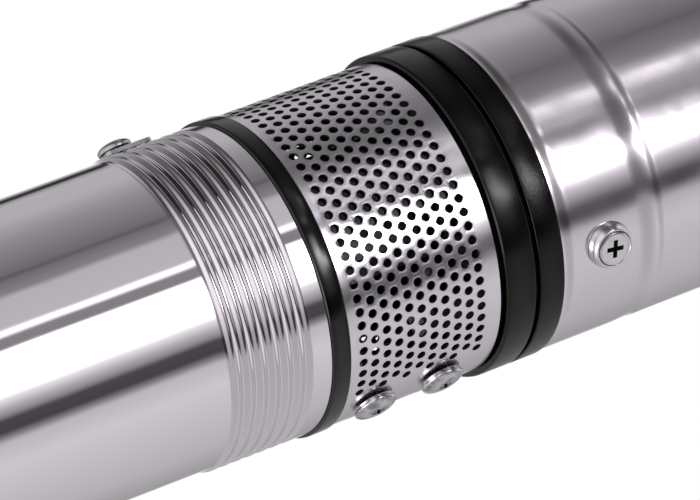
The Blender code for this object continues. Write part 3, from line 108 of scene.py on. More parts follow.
def surface(name, colour, metallic, rough, grain, wave=None, coords="object", stain=None,
            **shader):
    """A Principled material with roughness and bump from noise.

    rough is (lowest, highest, size of its patches in mm), grain (stretch along each
    axis in mm, height in mm), wave (size in mm, height in mm) a long soft waviness,
    stain (hex colour, size of its spots in mm) a second colour in patches.
    """
    made = bpy.data.materials.new(name)
    made.use_nodes = True
    tree = made.node_tree
    tree.nodes.clear()
    if coords == "tube":
        place = wrapped(tree)
    else:
        place = add(tree, "ShaderNodeTexCoord").outputs["Object"]
    patch = add(tree, "ShaderNodeTexNoise",
                {"Vector": place, "Scale": 1000 / rough[2], "Detail": 4.0})
    gloss = add(tree, "ShaderNodeMapRange",
                {"Value": patch.outputs["Fac"], "From Min": 0.3, "From Max": 0.7,
                 "To Min": rough[0], "To Max": rough[1]})
    stretch, height = grain
    fine = add(tree, "ShaderNodeMapping", {"Vector": place, "Scale": [1000 / s for s in stretch]})
    noise = add(tree, "ShaderNodeTexNoise",
                {"Vector": fine.outputs[0], "Scale": 1.0, "Detail": 3.0})
    bump = add(tree, "ShaderNodeBump",
               {"Height": noise.outputs["Fac"], "Distance": height * MM, "Strength": 1.0})
    if wave:
        size, swell = wave
        soft = add(tree, "ShaderNodeTexNoise",
                   {"Vector": place, "Scale": 1000 / size, "Detail": 0.0})
        bump = add(tree, "ShaderNodeBump",
                   {"Height": soft.outputs["Fac"], "Distance": swell * MM, "Strength": 1.0,
                    "Normal": bump.outputs[0]})
    sockets = {"Base Color": linear(colour), "Metallic": metallic,
               "Roughness": gloss.outputs[0], "Normal": bump.outputs[0]}
    if stain:
        second, size = stain
        spots = add(tree, "ShaderNodeTexNoise",
                    {"Vector": place, "Scale": 1000 / size, "Detail": 2.0})
        share = add(tree, "ShaderNodeMapRange",
                    {"Value": spots.outputs["Fac"], "From Min": 0.42, "From Max": 0.64})
        # On a Mix node of colours, sockets 6 and 7 are A and B, and output 2 is the result
        sockets["Base Color"] = add(
            tree, "ShaderNodeMix", {0: share.outputs[0], 6: linear(colour), 7: linear(second)},
            data_type="RGBA").outputs[2]
    sockets.update(shader)
    bsdf = add(tree, "ShaderNodeBsdfPrincipled", sockets)
    add(tree, "ShaderNodeOutputMaterial", {"Surface": bsdf.outputs[0]})
    return made


# Mirror-polished stainless: sharp studio bands that waver a little with the rolled sheet.
# Its polishing lines are far finer than a pixel, so they are drawn 0.6 mm wide and faint.
polished = surface("polished_stainless_sheet", "e7e0e8", 1.0, (0.035, 0.075, 18),
                   ((9, 0.6, 1), 0.0004), (22, 0.05), "tube")
# Brushed stainless: the same bands with fuzzy edges, grain runs round the shell. Real
# grain is under 0.1 mm wide, and it is drawn 0.3 mm wide so that it shows.
brushed = surface("brushed_stainless_sheet", "e2dae3", 1.0, (0.12, 0.20, 14),
                  ((6, 0.3, 1), 0.0026), (16, 0.06), "tube")
# Perforated stainless: bright sheet pulled round by hand, so its bands break up
perforated_steel = surface("perforated_stainless_sheet", "e2dbe4", 1.0, (0.15, 0.25, 6),
                           ((1.2, 1.2, 1), 0.0012), (13, 0.16), "tube")
# The strainer's inside: painted shade, near black, so that the holes look dark
inside_painted_shade = surface("stainless_inside_painted_shade", "2c2a2c", 0.6, (0.5, 0.65, 6),
                      ((1.2, 1.2, 1.2), 0.004))
# Glossy moulded nylon: a soft broad highlight on near black. Its IOR is taken down from
# nylon's 1.53, because the real ring mirrors the studio only faintly.
nylon = surface("moulded_black_nylon", "020202", 0.0, (0.15, 0.24, 7), ((3.0, 0.5, 3.0), 0.008),
                coords="tube", IOR=1.36)
# The same nylon as moulded in a rough tool: small grain breaks the highlight
rough_nylon = surface("grained_black_nylon", "020202", 0.0, (0.16, 0.26, 4),
                      ((0.9, 0.9, 0.9), 0.035), IOR=1.36)
# Wet-look rubber: a tight, even shine
rubber = surface("satin_black_rubber", "020202", 0.0, (0.10, 0.15, 6), ((0.9, 0.9, 0.9), 0.001),
                 IOR=1.47)
# Nickel-plated steel screws: dull grey, mottled where the tumbling has knocked them
plated = surface("plated_steel", "d6d2d6", 1.0, (0.18, 0.30, 2), ((1.2, 1.2, 1.2), 0.008),
                 (3.6, 0.30), stain=("9a969e", 2.6))
# The same plating on the countersunk screw and its cup: smoother, paler
bright_plated = surface("bright_plated_steel", "dedade", 1.0, (0.16, 0.28, 3),
                        ((0.9, 0.9, 0.9), 0.006))
# The punched recess of a screw: painted shade, a black cross where the recess lies in shadow
recess = surface("recess_painted_shade", "0a0a0a", 0.0, (0.5, 0.7, 2), ((0.5, 0.5, 0.5), 0.01), IOR=1.40)
# Turned and pressed steel: grey, with tool marks across
machined = surface("turned_steel", "b9b8bc", 1.0, (0.24, 0.38, 6), ((2.5, 2.5, 0.3), 0.004))
# Cast iron with its sand-cast skin: dark, grainy, no clear reflection
iron = surface("cast_iron_skin", "38393b", 0.4, (0.55, 0.75, 5), ((0.8, 0.8, 0.8), 0.06))
# Stacked electrical sheet: grey, with a fine line wherever two sheets meet
laminated = surface("stacked_electrical_sheet", "66666b", 0.9, (0.35, 0.5, 8),
                    ((12, 12, 0.5), 0.03))
# Enamelled copper wire dipped in varnish: brown, lumpy, with a wet shine
enamel = surface("varnished_copper_wire", "8f4520", 0.2, (0.28, 0.42, 5), ((1.0, 1.0, 3.0), 0.15))
# Pressed carbon graphite: flat, dark, hardly a highlight
carbon = surface("carbon_graphite", "242427", 0.0, (0.45, 0.6, 4), ((0.5, 0.5, 0.5), 0.01))
# Pale filled plastic, moulded: an even cream with a dull sheen
pale_plastic = surface("pale_moulded_plastic", "c8c3b0", 0.0, (0.38, 0.5, 9),
                       ((0.8, 0.8, 0.8), 0.005))
# Turned brass: yellow, its shine drawn out by fine tool lines
brass = surface("turned_brass", "c09c55", 1.0, (0.16, 0.28, 6), ((2.0, 2.0, 0.25), 0.003))

FINISHES = {"polished_stainless": polished, "brushed_stainless": brushed,
            "machined_steel": machined, "black_nylon": nylon, "black_rubber": rubber,
            "cast_iron": iron, "electrical_steel": laminated, "enamelled_copper": enamel,
            "carbon_graphite": carbon, "brass": brass}
slot_of = {part["node"]: part["material_slot"] for part in frame["record"]["subparts"]}
for node, solid in frame["nodes"].items():
    # The one slot that isn't in FINISHES is the impellers' and vanes' pale plastic
    solid.material_slots[0].material = FINISHES.get(slot_of[node], pale_plastic)


# ---------------------------------------------------------------- mesh tools

def softened(corners, steps=3):
    """Corners given as (r, z, cut) become curves that start that far before them."""
    points = []
    for i, corner in enumerate(corners):
        here = Vector(corner[:2])
        if len(corner) == 2:
            points.append(tuple(here))
            continue
        before, after = Vector(corners[i - 1][:2]), Vector(corners[(i + 1) % len(corners)][:2])
        start = here + (before - here).normalized() * corner[2]
        end = here + (after - here).normalized() * corner[2]
        for k in range(steps + 1):
            t = k / steps
            points.append(tuple(start * (1 - t) ** 2 + here * 2 * t * (1 - t) + end * t ** 2))
    return points


def lathe(points, steps, closed=True):
    """A full turn of (radius, height) points about Z."""
    bm = bmesh.new()
    verts = [bm.verts.new((r, 0, z)) for r, z in points]
    pairs = list(zip(verts, verts[1:])) + ([(verts[-1], verts[0])] if closed else [])
    edges = [bm.edges.new(pair) for pair in pairs]
    bmesh.ops.spin(bm, geom=verts + edges, cent=(0, 0, 0), axis=(0, 0, 1), angle=math.tau,
                   steps=steps, use_merge=True)
    bmesh.ops.remove_doubles(bm, verts=bm.verts, dist=1e-4)
    return bm


def rod(radius, bottom, top, steps):
    return lathe([(0, bottom), (radius, bottom), (radius, top), (0, top)], steps, closed=False)


def box(low, high):
    bm = bmesh.new()
    bmesh.ops.create_cube(bm, size=1.0)
    size = Vector(high) - Vector(low)
    bmesh.ops.scale(bm, vec=size, verts=bm.verts)
    bmesh.ops.translate(bm, vec=Vector(low) + size / 2, verts=bm.verts)
    return bm


def turn(bm, degrees, axis="Z"):
    rotation = Matrix.Rotation(math.radians(degrees), 3, axis)
    bmesh.ops.rotate(bm, verts=bm.verts, matrix=rotation)
    return bm


def shift(bm, x=0.0, y=0.0, z=0.0):
    bmesh.ops.translate(bm, vec=(x, y, z), verts=bm.verts)
    return bm


def stand_out(bm, degrees, height):
    """Turns a piece made along Z so that it points outwards at that angle and height."""
    return shift(turn(turn(bm, 90, "Y"), degrees), z=height)


def new_verts(geom):
    """The vertices among what an operator made."""
    return [v for v in geom if isinstance(v, bmesh.types.BMVert)]


def together(*parts):
    whole = bmesh.new()
    for part in parts:
        mesh = bpy.data.meshes.new("part")
        part.to_mesh(mesh)
        part.free()
        whole.from_mesh(mesh)
        bpy.data.meshes.remove(mesh)
    return whole


def boolean(bm, tool, operation="DIFFERENCE"):
    """The exact Boolean of two closed meshes, both of which it frees."""
    pair = []
    for part in (bm, tool):
        bmesh.ops.recalc_face_normals(part, faces=part.faces)
        mesh = bpy.data.meshes.new("operand")
        part.to_mesh(mesh)
        part.free()
        pair.append(bpy.data.objects.new("operand", mesh))
        scene.collection.objects.link(pair[-1])
    cut = pair[0].modifiers.new("cut", "BOOLEAN")
    cut.operation = operation
    cut.solver = "EXACT"
    cut.object = pair[1]
    bpy.context.view_layer.update()
    result = pair[0].evaluated_get(bpy.context.evaluated_depsgraph_get()).to_mesh()
    out = bmesh.new()
    out.from_mesh(result)
    for obj in pair:
        mesh = obj.data
        bpy.data.objects.remove(obj)
        bpy.data.meshes.remove(mesh)
    return out


def piece(name, bm, finish, node, crease=38.0, inner=None):
    """A finished piece that stands for a CAD node of the casing, turned into metres.

    inner dresses the faces that have material index 1.
    """
    bmesh.ops.recalc_face_normals(bm, faces=bm.faces)
    bmesh.ops.scale(bm, vec=(MM, MM, MM), verts=bm.verts)
    for face in bm.faces:
        face.smooth = True
    for edge in bm.edges:
        edge.smooth = edge.calc_face_angle(0.0) < math.radians(crease)
    mesh = bpy.data.meshes.new(name)
    bm.to_mesh(mesh)
    bm.free()
    mesh.materials.append(finish)
    if inner:
        mesh.materials.append(inner)
    obj = bpy.data.objects.new(name, mesh)
    scene.collection.objects.link(obj)
    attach(obj, "casing")
    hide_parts(node)
    return obj


def ease(low, high, value):
    """0 below low, 1 above high, smooth between."""
    t = min(max((value - low) / (high - low), 0.0), 1.0)
    return t * t * (3 - 2 * t)


# ---------------------------------------------------------------- measures that pieces share

FLANGE_R = 48.9             # base cap, motor flange and suction bracket
SPIGOT_R = 46.9             # what goes into the motor shell
SPIGOT_BORE_R = 40.9
BRACKET_R = 44.5            # what goes into the pump shell
PUMP_R = 46.0
PUMP_FOOT, PUMP_TOP = 381.0, 538.6
MOTOR_R = 48.4
MOTOR_FOOT, MOTOR_TOP = 14.3, 304.3

BOLT_WAY_R = 3.3
BOLT_CIRCLE_R = 33.1
BOLT_ANGLES = [244.0 + 90 * k for k in range(4)]
LEAD_WAY_R = 5.5
LEAD_OUT = 32.5             # how far the supply lead's way is from the axis, along +Y
SHELL_SCREW_ANGLES = (237.0, 57.0)
SHELL_SCREW_HEIGHT = 289.3
SEAM_ANGLE = 199.0
SEAM_SCREW_HEIGHTS = (341.6, 364.1)
LOCK_ANGLE = 12.0
LOCK_HEIGHT = 400.6
GLAND_OUT = 36.2            # how far the cable gland is from the axis, along +Y


# ---------------------------------------------------------------- sheet shells

THREAD_PITCH = 4.05
THREAD_FIRST = 388.8        # height of the first trough on the side that faces the camera
THREAD_CREST = 0.72         # how far a crest stands out of the tube
THREAD_DEPTH = 0.66
THREAD_END = (412.2, 413.6)
THREAD_SWELL = 0.06         # rolling has left the threaded end this much wider
CRIMP_HEIGHT = 530.6
CRIMP_REACH = 2.5           # above and below its middle
CRIMP_DEPTH = 1.0


def pump_shell():
    """Polished tube, rolled round thread at its foot, crimp at its top."""
    # Close loops hold the shading at the foot; fine steps follow the thread and the crimp
    heights = [PUMP_FOOT, 381.12, 381.2, 381.4, 384.4]
    heights += [384.8 + 0.27 * k for k in range(105)]
    heights += [413.3, 413.7, 414.1, 414.5, 415.0, 415.5, 416.0, 416.6, 417.6]
    heights += [430.0, 470.0, 510.0, 526.0]
    heights += [528.1 + 0.5 * k for k in range(11)] + [535.0, 538.2, PUMP_TOP]
    bore = 44.8
    bm = lathe([(PUMP_R, z) for z in heights] + [(bore, PUMP_TOP), (bore, PUMP_FOOT)], 240)
    for vert in bm.verts:
        x, y, z = vert.co
        if math.hypot(x, y) < (PUMP_R + bore) / 2:
            continue
        turns = math.atan2(-x, -y) / math.tau
        phase = (z - THREAD_FIRST) / THREAD_PITCH - turns
        trough = 0.5 + 0.5 * math.cos(max(phase, -0.5) * math.tau)
        if phase < 0.5:
            # The first trough starts beside the lock screw
            trough *= ease(-0.5, -0.36, turns)
        rolled = 1 - ease(*THREAD_END, z)
        radius = PUMP_R + THREAD_SWELL * (1 - ease(412.0, 416.0, z))
        radius += rolled * (THREAD_CREST - THREAD_DEPTH * trough)
        off_crimp = min(abs(z - CRIMP_HEIGHT) / CRIMP_REACH, 1.0)
        radius -= CRIMP_DEPTH * max(0.0, math.cos(off_crimp * math.pi / 2)) ** 2
        # Both rims have their sharp edge taken off
        radius -= 0.05 * (1 - ease(PUMP_FOOT, 381.12, z)) + 0.25 * ease(538.2, PUMP_TOP, z)
        vert.co = (x * radius / PUMP_R, y * radius / PUMP_R, z)
    screw_way = stand_out(rod(2.4, 42.0, 50.0, 24), LOCK_ANGLE, LOCK_HEIGHT)
    piece("pump_shell_fine", boolean(bm, screw_way), polished, "pump_shell")


def motor_shell():
    """Brushed tube with a shallow rolled groove, drawn in a little at its top edge."""
    groove_depth, wall = 0.28, 1.2
    heights = [MOTOR_FOOT, 14.5, 14.9, 60.0, 120.0, 180.0, 230.0, 250.0, 258.0, 262.0]
    heights += [269.4 + 0.4 * k for k in range(25)]
    heights += [282.0, 285.0, 288.0, 292.0, 296.0, 298.0, 299.5, 300.5, 301.3, 302.0, 302.6,
                303.2, 303.7, 304.1, MOTOR_TOP]
    outer = []
    for z in heights:
        # The groove's lower side is the steeper one
        dip = min(ease(0.0, 1.0, (279.4 - z) / 6.8), ease(0.0, 1.0, (z - 269.6) / 3.0))
        drawn_in = 0.4 * ease(300.5, MOTOR_TOP, z) + 0.2 * (1 - ease(MOTOR_FOOT, 14.9, z))
        outer.append((MOTOR_R - groove_depth * dip - drawn_in, z))
    bm = lathe(outer + [(r - wall, z) for r, z in reversed(outer)], 240)
    ways = [stand_out(rod(2.3, 40.0, 52.0, 24), a, SHELL_SCREW_HEIGHT) for a in SHELL_SCREW_ANGLES]
    piece("motor_shell_fine", boolean(bm, together(*ways)), brushed, "motor_shell")


STRAINER_R = 47.0
STRAINER_FOOT, STRAINER_TOP = 325.2, 375.0
ROWS = 11
ROW_TOP = 370.85            # height of the top row's holes
ROW_PITCH = 3.92
HOLE_PITCH = 5.08           # degrees
HOLE_COLUMNS = 66
HOLE_START = 62.41 - HOLE_PITCH * HOLE_COLUMNS      # PHI at which the top row begins
STAGGER = 0.583             # how far every second row steps back, in hole pitches
HOLE_R = 1.375
HOLE_DIMPLE = 0.07          # how far punching has pulled a hole's rim in


def hole_cell(width, height, joint):
    """A flat cell of sheet round its hole, its origin at its top left corner.

    A vertex stands at joint on its top and foot, where the next row's cells meet.
    """
    bm = bmesh.new()
    bmesh.ops.create_circle(bm, segments=16, radius=HOLE_R, cap_ends=False)
    shift(bm, z=-HOLE_DIMPLE)
    rim = bmesh.ops.create_circle(bm, segments=8, radius=1.0, cap_ends=False)["verts"]
    for vert in rim:
        x, y, _ = vert.co
        across = math.copysign(width / 2, x) if abs(x) > 0.5 else joint - width / 2
        along = math.copysign(height / 2, y) if abs(y) > 0.5 else 0.0
        vert.co = (across, along, 0)
    bmesh.ops.bridge_loops(bm, edges=bm.edges)
    return shift(bm, x=width / 2, y=-height / 2)


def hole_rows(width, back, first):
    """Every second row of holes, the first one numbered 0 or 1, stepped back by that length."""
    bm = hole_cell(width, ROW_PITCH, back if back else width * (1 - STAGGER))
    shift(bm, x=-back, y=-ROW_PITCH * first)
    cell = bm.faces[:]
    for k in range(1, HOLE_COLUMNS):
        made = new_verts(bmesh.ops.duplicate(bm, geom=cell)["geom"])
        bmesh.ops.translate(bm, vec=(width * k, 0, 0), verts=made)
    row = bm.faces[:]
    for k in range(2, ROWS - first, 2):
        made = new_verts(bmesh.ops.duplicate(bm, geom=row)["geom"])
        bmesh.ops.translate(bm, vec=(0, -ROW_PITCH * k, 0), verts=made)
    return bm


def fill_margins(bm, arc, top):
    """Plain sheet: the row ends, the seam, and the edges above and below."""
    left = math.radians(HOLE_START) * STRAINER_R
    right = left + arc * HOLE_COLUMNS
    step = arc * STAGGER
    around = math.tau * STRAINER_R
    seam = [right + (left - step + around - right) * k / 6 for k in range(7)]
    levels = [top - ROW_PITCH * k for k in range(ROWS + 1)]

    def patch(xs, low, high):
        rows = [[bm.verts.new((x, z, 0)) for x in xs] for z in (low, high)]
        for a, b, c, d in zip(rows[0], rows[0][1:], rows[1][1:], rows[1]):
            bm.faces.new((a, b, c, d))

    for k, (high, low) in enumerate(zip(levels, levels[1:])):
        mid = (high + low) / 2
        for z0, z1 in ((low, mid), (mid, high)):
            patch(seam, z0, z1)
            patch([right - step, right] if k % 2 else [left - step, left], z0, z1)
    columns = range(HOLE_COLUMNS + 1)
    joints = sorted([left + arc * k for k in columns] + [left - step + arc * k for k in columns])
    edge_line = top + 1.2       # keeps the shading of the plain edge apart from the dimples
    for z0, z1 in ((top, edge_line), (edge_line, STRAINER_TOP), (STRAINER_FOOT, levels[-1])):
        patch(joints + seam[1:], z0, z1)


def strainer():
    """Perforated sheet: staggered round holes, plain along both edges and the seam."""
    arc = math.radians(HOLE_PITCH) * STRAINER_R
    bm = together(hole_rows(arc, 0.0, 0), hole_rows(arc, arc * STAGGER, 1))
    bmesh.ops.remove_doubles(bm, verts=bm.verts, dist=1e-3)
    top = ROW_TOP + ROW_PITCH / 2
    bmesh.ops.translate(bm, vec=(math.radians(HOLE_START) * STRAINER_R, top, 0), verts=bm.verts)
    fill_margins(bm, arc, top)
    bmesh.ops.remove_doubles(bm, verts=bm.verts, dist=1e-3)
    for vert in bm.verts:
        phi, radius = vert.co.x / STRAINER_R, STRAINER_R + vert.co.z
        vert.co = (-radius * math.sin(phi), -radius * math.cos(phi), vert.co.y)
    bmesh.ops.remove_doubles(bm, verts=bm.verts, dist=2e-3)
    bmesh.ops.recalc_face_normals(bm, faces=bm.faces)
    bmesh.ops.solidify(bm, geom=bm.faces, thickness=0.9)
    # The sheet's inner faces get the second slot, the painted shade of the holes
    for face in bm.faces:
        middle = face.calc_center_median()
        if math.hypot(middle.x, middle.y) < STRAINER_R - 0.3:
            face.material_index = 1
    piece("strainer_fine", bm, perforated_steel, "strainer", crease=50.0, inner=inside_painted_shade)


# ---------------------------------------------------------------- rings and castings

def foot_ways(bottom, top):
    """What goes up through the lantern's foot: four bolts and the supply lead."""
    ways = [turn(shift(rod(BOLT_WAY_R, bottom, top, 20), x=BOLT_CIRCLE_R), a)
            for a in BOLT_ANGLES]
    return ways + [shift(rod(LEAD_WAY_R, bottom, top, 24), y=LEAD_OUT)]


def black_rings():
    """Motor flange and suction bracket rims, and the thin ring under the pump shell."""
    flange = lathe(softened([
        (FLANGE_R, 304.6, 0.5), (FLANGE_R, 312.8, 0.5), (46.7, 312.8), (46.7, 314.0),
        (17.5, 314.0), (17.5, 306.0), (11.2, 306.0), (11.2, 304.3), (13.5, 304.3),
        (13.5, 288.0), (18.0, 288.0), (18.0, 304.0), (SPIGOT_BORE_R, 304.0),
        (SPIGOT_BORE_R, 281.0), (SPIGOT_R, 281.0), (SPIGOT_R, 304.6)]), 192)
    screw_ways = [stand_out(rod(2.2, 39.0, 48.0, 16), a, SHELL_SCREW_HEIGHT)
                  for a in SHELL_SCREW_ANGLES]
    flange = boolean(flange, together(*foot_ways(290.0, 330.0), *screw_ways))
    piece("motor_flange_fine", flange, rough_nylon, "motor_flange")
    bracket = lathe(softened([
        (FLANGE_R, 314.3, 0.4), (FLANGE_R, 323.9, 0.8), (45.8, 323.9), (45.8, 375.0),
        (BRACKET_R, 375.0), (BRACKET_R, 412.0), (26.0, 412.0), (26.0, 400.0), (39.3, 371.0),
        (39.3, 323.9), (20.5, 323.9), (20.5, 314.3)]), 192)
    windows = [turn(box((13.3, -22, 327.2), (FLANGE_R, 22, 371.0)), a) for a in BOLT_ANGLES]
    seam_ways = [stand_out(rod(2.4, 36.0, 48.0, 16), SEAM_ANGLE, z) for z in SEAM_SCREW_HEIGHTS]
    lock_way = stand_out(rod(2.4, 37.0, 48.0, 16), LOCK_ANGLE, LOCK_HEIGHT)
    bracket = boolean(bracket, together(*windows))
    bracket = boolean(bracket, together(*foot_ways(310.0, 326.0), *seam_ways, lock_way))
    piece("suction_bracket_fine", bracket, nylon, "suction_bracket")
    ring = lathe(softened([(47.65, 375.2, 0.5), (47.65, 380.9, 0.5), (44.8, 380.9),
                           (44.8, 375.2)]), 192)
    piece("shell_seal_ring_fine", ring, rubber, "shell_seal_ring")


def base_cap():
    """The foot that the pump stands on, with the breathing hole in its middle."""
    cap = lathe(softened([
        (3.0, 0.0, 0.5), (FLANGE_R, 0.0, 2.2), (FLANGE_R, 14.0, 0.5), (SPIGOT_R, 14.0),
        (SPIGOT_R, 24.0), (SPIGOT_BORE_R, 24.0), (SPIGOT_BORE_R, 6.0), (3.0, 6.0)]), 192)
    piece("base_cap_fine", cap, nylon, "base_cap")


# ---------------------------------------------------------------- screws

def recessed(points, across, arm, depth, top):
    """A screw turned from points, flat at its top, with a tapered cross recess in its middle.

    across is the cross's span and arm the width of its arms, both a little above the top.
    """
    end, corner = across / 2, arm / 2
    cross = boolean(box((-end, -corner, top - depth), (end, corner, top + 1)),
                    box((-corner, -end, top - depth), (corner, end, top + 1)), "UNION")
    bmesh.ops.scale(cross, vec=(0.7, 0.7, 1), verts=[v for v in cross.verts if v.co.z < top])
    bm = boolean(lathe(points + [(0, top)], 32, closed=False), cross)
    # Faces inside the cross get the second slot, the recess's painted shade
    for face in bm.faces:
        x, y, z = face.calc_center_median()
        inside = math.hypot(x, y) < end and z > top - depth - 0.1
        if inside and (abs(face.normal.z) < 0.6 or z < top - 0.8 * depth):
            face.material_index = 1
    return bm


def pan_head(seat, shank, radius, height, side):
    """A thick pan head: a straight side up to that height, then a low dome."""
    points = softened([(0, seat - shank), (2.1, seat - shank), (2.1, seat), (radius - 1.5, seat),
                       (radius, seat + 0.6, 0.3)])
    for degrees in range(0, 81, 8):
        a = math.radians(degrees)
        points.append((radius * math.cos(a), seat + side + (height - side) * math.sin(a)))
    return turn(recessed(points, across=4.4, arm=1.1, depth=1.7, top=seat + height), 20.0)


def seam_screws():
    for number, height in enumerate(SEAM_SCREW_HEIGHTS, 1):
        bm = pan_head(seat=47.2, shank=6.6, radius=6.6, height=3.46, side=1.5)
        piece(f"strainer_screw_{number}_fine", stand_out(bm, SEAM_ANGLE, height), plated,
              f"strainer_screw_{number}", inner=recess)


def lock():
    """The screw and the plate that keep the pump shell from unscrewing."""
    bm = pan_head(seat=48.5, shank=7.9, radius=5.2, height=3.0, side=1.1)
    piece("lock_screw_fine", stand_out(bm, LOCK_ANGLE, LOCK_HEIGHT), machined, "lock_screw",
          inner=recess)
    plate = box((47.1, -5.0, 390.6), (48.3, 5.0, 405.2))
    corners = [e for e in plate.edges if abs(e.verts[0].co.x - e.verts[1].co.x) > 0.1]
    bmesh.ops.bevel(plate, geom=corners, offset=1.6, segments=4, profile=0.5, affect="EDGES",
                    material=-1)
    plate = boolean(plate, stand_out(rod(2.4, 46.0, 50.0, 24), 0.0, LOCK_HEIGHT))
    piece("lock_plate_fine", turn(plate, LOCK_ANGLE), machined, "lock_plate")


def shell_screws():
    """Countersunk screws in raised cup washers."""
    for number, angle in enumerate(SHELL_SCREW_ANGLES, 1):
        cup = lathe(softened([(7.0, 48.7, 0.3), (6.7, 50.4, 0.8), (6.0, 51.6, 0.25), (5.5, 51.6),
                              (2.5, 49.0), (2.5, 48.7)]), 48)
        # The cup's foot follows the shell, 0.15 off it
        for vert in cup.verts:
            if vert.co.z < 49.1:
                lift = 0.3 if vert.co.z > 48.9 else 0.0
                vert.co.z = math.sqrt((MOTOR_R + 0.15) ** 2 - vert.co.y ** 2) + lift
        piece(f"cup_washer_{number}_fine", stand_out(cup, angle, SHELL_SCREW_HEIGHT),
              bright_plated, f"cup_washer_{number}")
        points = softened([(0, 41.4), (1.9, 41.4), (1.9, 49.1), (5.2, 51.7, 0.15),
                           (4.6, 51.9, 0.2), (3.6, 51.9)])
        bm = turn(recessed(points, across=6.2, arm=1.6, depth=1.9, top=51.9), -8.0)
        piece(f"shell_screw_{number}_fine", stand_out(bm, angle, SHELL_SCREW_HEIGHT),
              bright_plated, f"shell_screw_{number}", inner=recess)


# ---------------------------------------------------------------- outlet head

HEAD_TOP = 598.9
OUTLET_R = 19.5             # crests of the pipe thread
PIPE_PITCH = 2.31           # eleven threads to the inch
EYE_OUT = 33.7
EYE_HEIGHT = 582.9
EYE_R = 8.8


def lifting_ear(side):
    """A flat ear with a quarter round at its top, on the +X or -X side of the outlet."""
    root, thickness = 22.2, 9.0
    rim = [(root, 552.9), (EYE_OUT + 7.04, 552.9)]
    for degrees in range(0, 91, 10):
        a = math.radians(degrees)
        rim.append((EYE_OUT + EYE_R * math.cos(a), EYE_HEIGHT + EYE_R * math.sin(a)))
    rim.append((root, EYE_HEIGHT + EYE_R))
    bm = bmesh.new()
    face = bm.faces.new([bm.verts.new((side * x, -thickness / 2, z)) for x, z in rim])
    grown = bmesh.ops.extrude_face_region(bm, geom=[face])["geom"]
    bmesh.ops.translate(bm, vec=(0, thickness, 0), verts=new_verts(grown))
    bmesh.ops.recalc_face_normals(bm, faces=bm.faces)
    rims = [e for e in bm.edges if abs(e.verts[0].co.y - e.verts[1].co.y) < 0.1]
    bmesh.ops.bevel(bm, geom=rims, offset=0.9, segments=3, profile=0.5, affect="EDGES",
                    material=-1)
    return bm


def head():
    """Outlet head: pipe thread, two lifting ears, and the boss that the gland stands on."""
    pipe_thread = [(OUTLET_R + depth, 597.6 - PIPE_PITCH * k - step) for k in range(8)
                   for step, depth in ((0.0, 0.0), (0.95, 1.1), (1.3, 1.1), (2.2, 0.0))]
    outline = [(BRACKET_R, 520.6), (BRACKET_R, 527.8), (43.5, CRIMP_HEIGHT, 1.0),
               (BRACKET_R, 533.4), (BRACKET_R, 538.9), (46.8, 538.9, 0.4), (46.8, 546.9, 1.2),
               (26.2, 560.9, 1.5), (26.2, HEAD_TOP, 2.0), (20.6, HEAD_TOP, 0.4)]
    outline += pipe_thread
    outline += [(OUTLET_R, 576.9), (22.0, 576.9), (22.0, 550.9), (24.3, 550.9), (24.3, 544.6),
                (38.0, 520.6)]
    bm = lathe(softened(outline), 96)
    for side in (1, -1):
        eye = shift(turn(rod(4.8, -9, 9, 32), 90, "X"), x=side * EYE_OUT, z=EYE_HEIGHT)
        bm = boolean(boolean(bm, lifting_ear(side), "UNION"), eye)
    gland_boss = shift(rod(8.8, 542.9, 561.9, 40), y=GLAND_OUT)
    lead_bore = shift(rod(3.6, 520.3, 562.2, 32), y=GLAND_OUT)
    bm = boolean(boolean(bm, gland_boss, "UNION"), lead_bore)
    piece("discharge_head_fine", bm, rough_nylon, "discharge_head")


def hexagon(radius, bottom, top):
    """Six-sided prism with softened edges."""
    bm = rod(radius, bottom, top, 6)
    bmesh.ops.bevel(bm, geom=bm.edges[:], offset=0.5, segments=3, profile=0.5, affect="EDGES",
                    material=-1)
    return bm


def gland():
    """Cable gland: a hexagon body with a ridged barrel, and a hexagon nut over it."""
    ridges = [(6.0 - depth, 567.0 + 1.5 * k + step) for k in range(7)
              for step, depth in ((0.0, 0.0), (0.75, 0.6))]
    barrel = lathe([(0, 566.0), (6.0, 566.0)] + ridges + [(5.8, 578.2), (0, 578.2)], 40,
                   closed=False)
    pocket = lathe([(0, 561.0), (3.3, 561.0), (3.3, 572.2), (4.8, 572.2), (4.8, 579.0),
                    (0, 579.0)], 32, closed=False)
    body = boolean(boolean(hexagon(8.6, 562.2, 567.2), barrel, "UNION"), pocket)
    piece("gland_body_fine", shift(body, y=GLAND_OUT), rough_nylon, "gland_body")
    bore = lathe([(0, 570.0), (6.3, 570.0), (6.3, 578.5), (3.3, 578.5), (3.3, 582.0),
                  (0, 582.0)], 40, closed=False)
    nut = boolean(hexagon(8.6, 571.0, 581.0), bore)
    piece("gland_nut_fine", shift(nut, y=GLAND_OUT), nylon, "gland_nut")


def valve_spring():
    """The check valve's coil spring, hung from the guide cage. The poppet squeezes it as it lifts,
    but here it stays at rest.
    """
    wire, coil, turns, steps, lift = 0.6, 7.8, 4, 96, 8.0
    low, high = (corner[2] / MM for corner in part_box("valve_spring"))
    bm = bmesh.new()
    bmesh.ops.create_circle(bm, cap_ends=True, segments=10, radius=wire)
    shift(turn(bm, 90, "X"), x=coil, z=low + wire)
    bmesh.ops.spin(bm, geom=bm.verts[:] + bm.edges[:] + bm.faces[:], cent=(0, 0, 0),
                   axis=(0, 0, 1), angle=math.tau * turns, steps=steps,
                   dvec=(0, 0, (high - low - 2 * wire) / steps))
    spring = piece("valve_spring_fine", bm, machined, "valve_spring")
    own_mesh(spring)


black_rings()
base_cap()
valve_spring()
gland()
pump_shell()
motor_shell()
strainer()
seam_screws()
lock()
shell_screws()
head()


# ---------------------------------------------------------------- studio

BRIGHTEST = 16.0            # a ramp holds 0 to 1, so brightness is divided by this in it


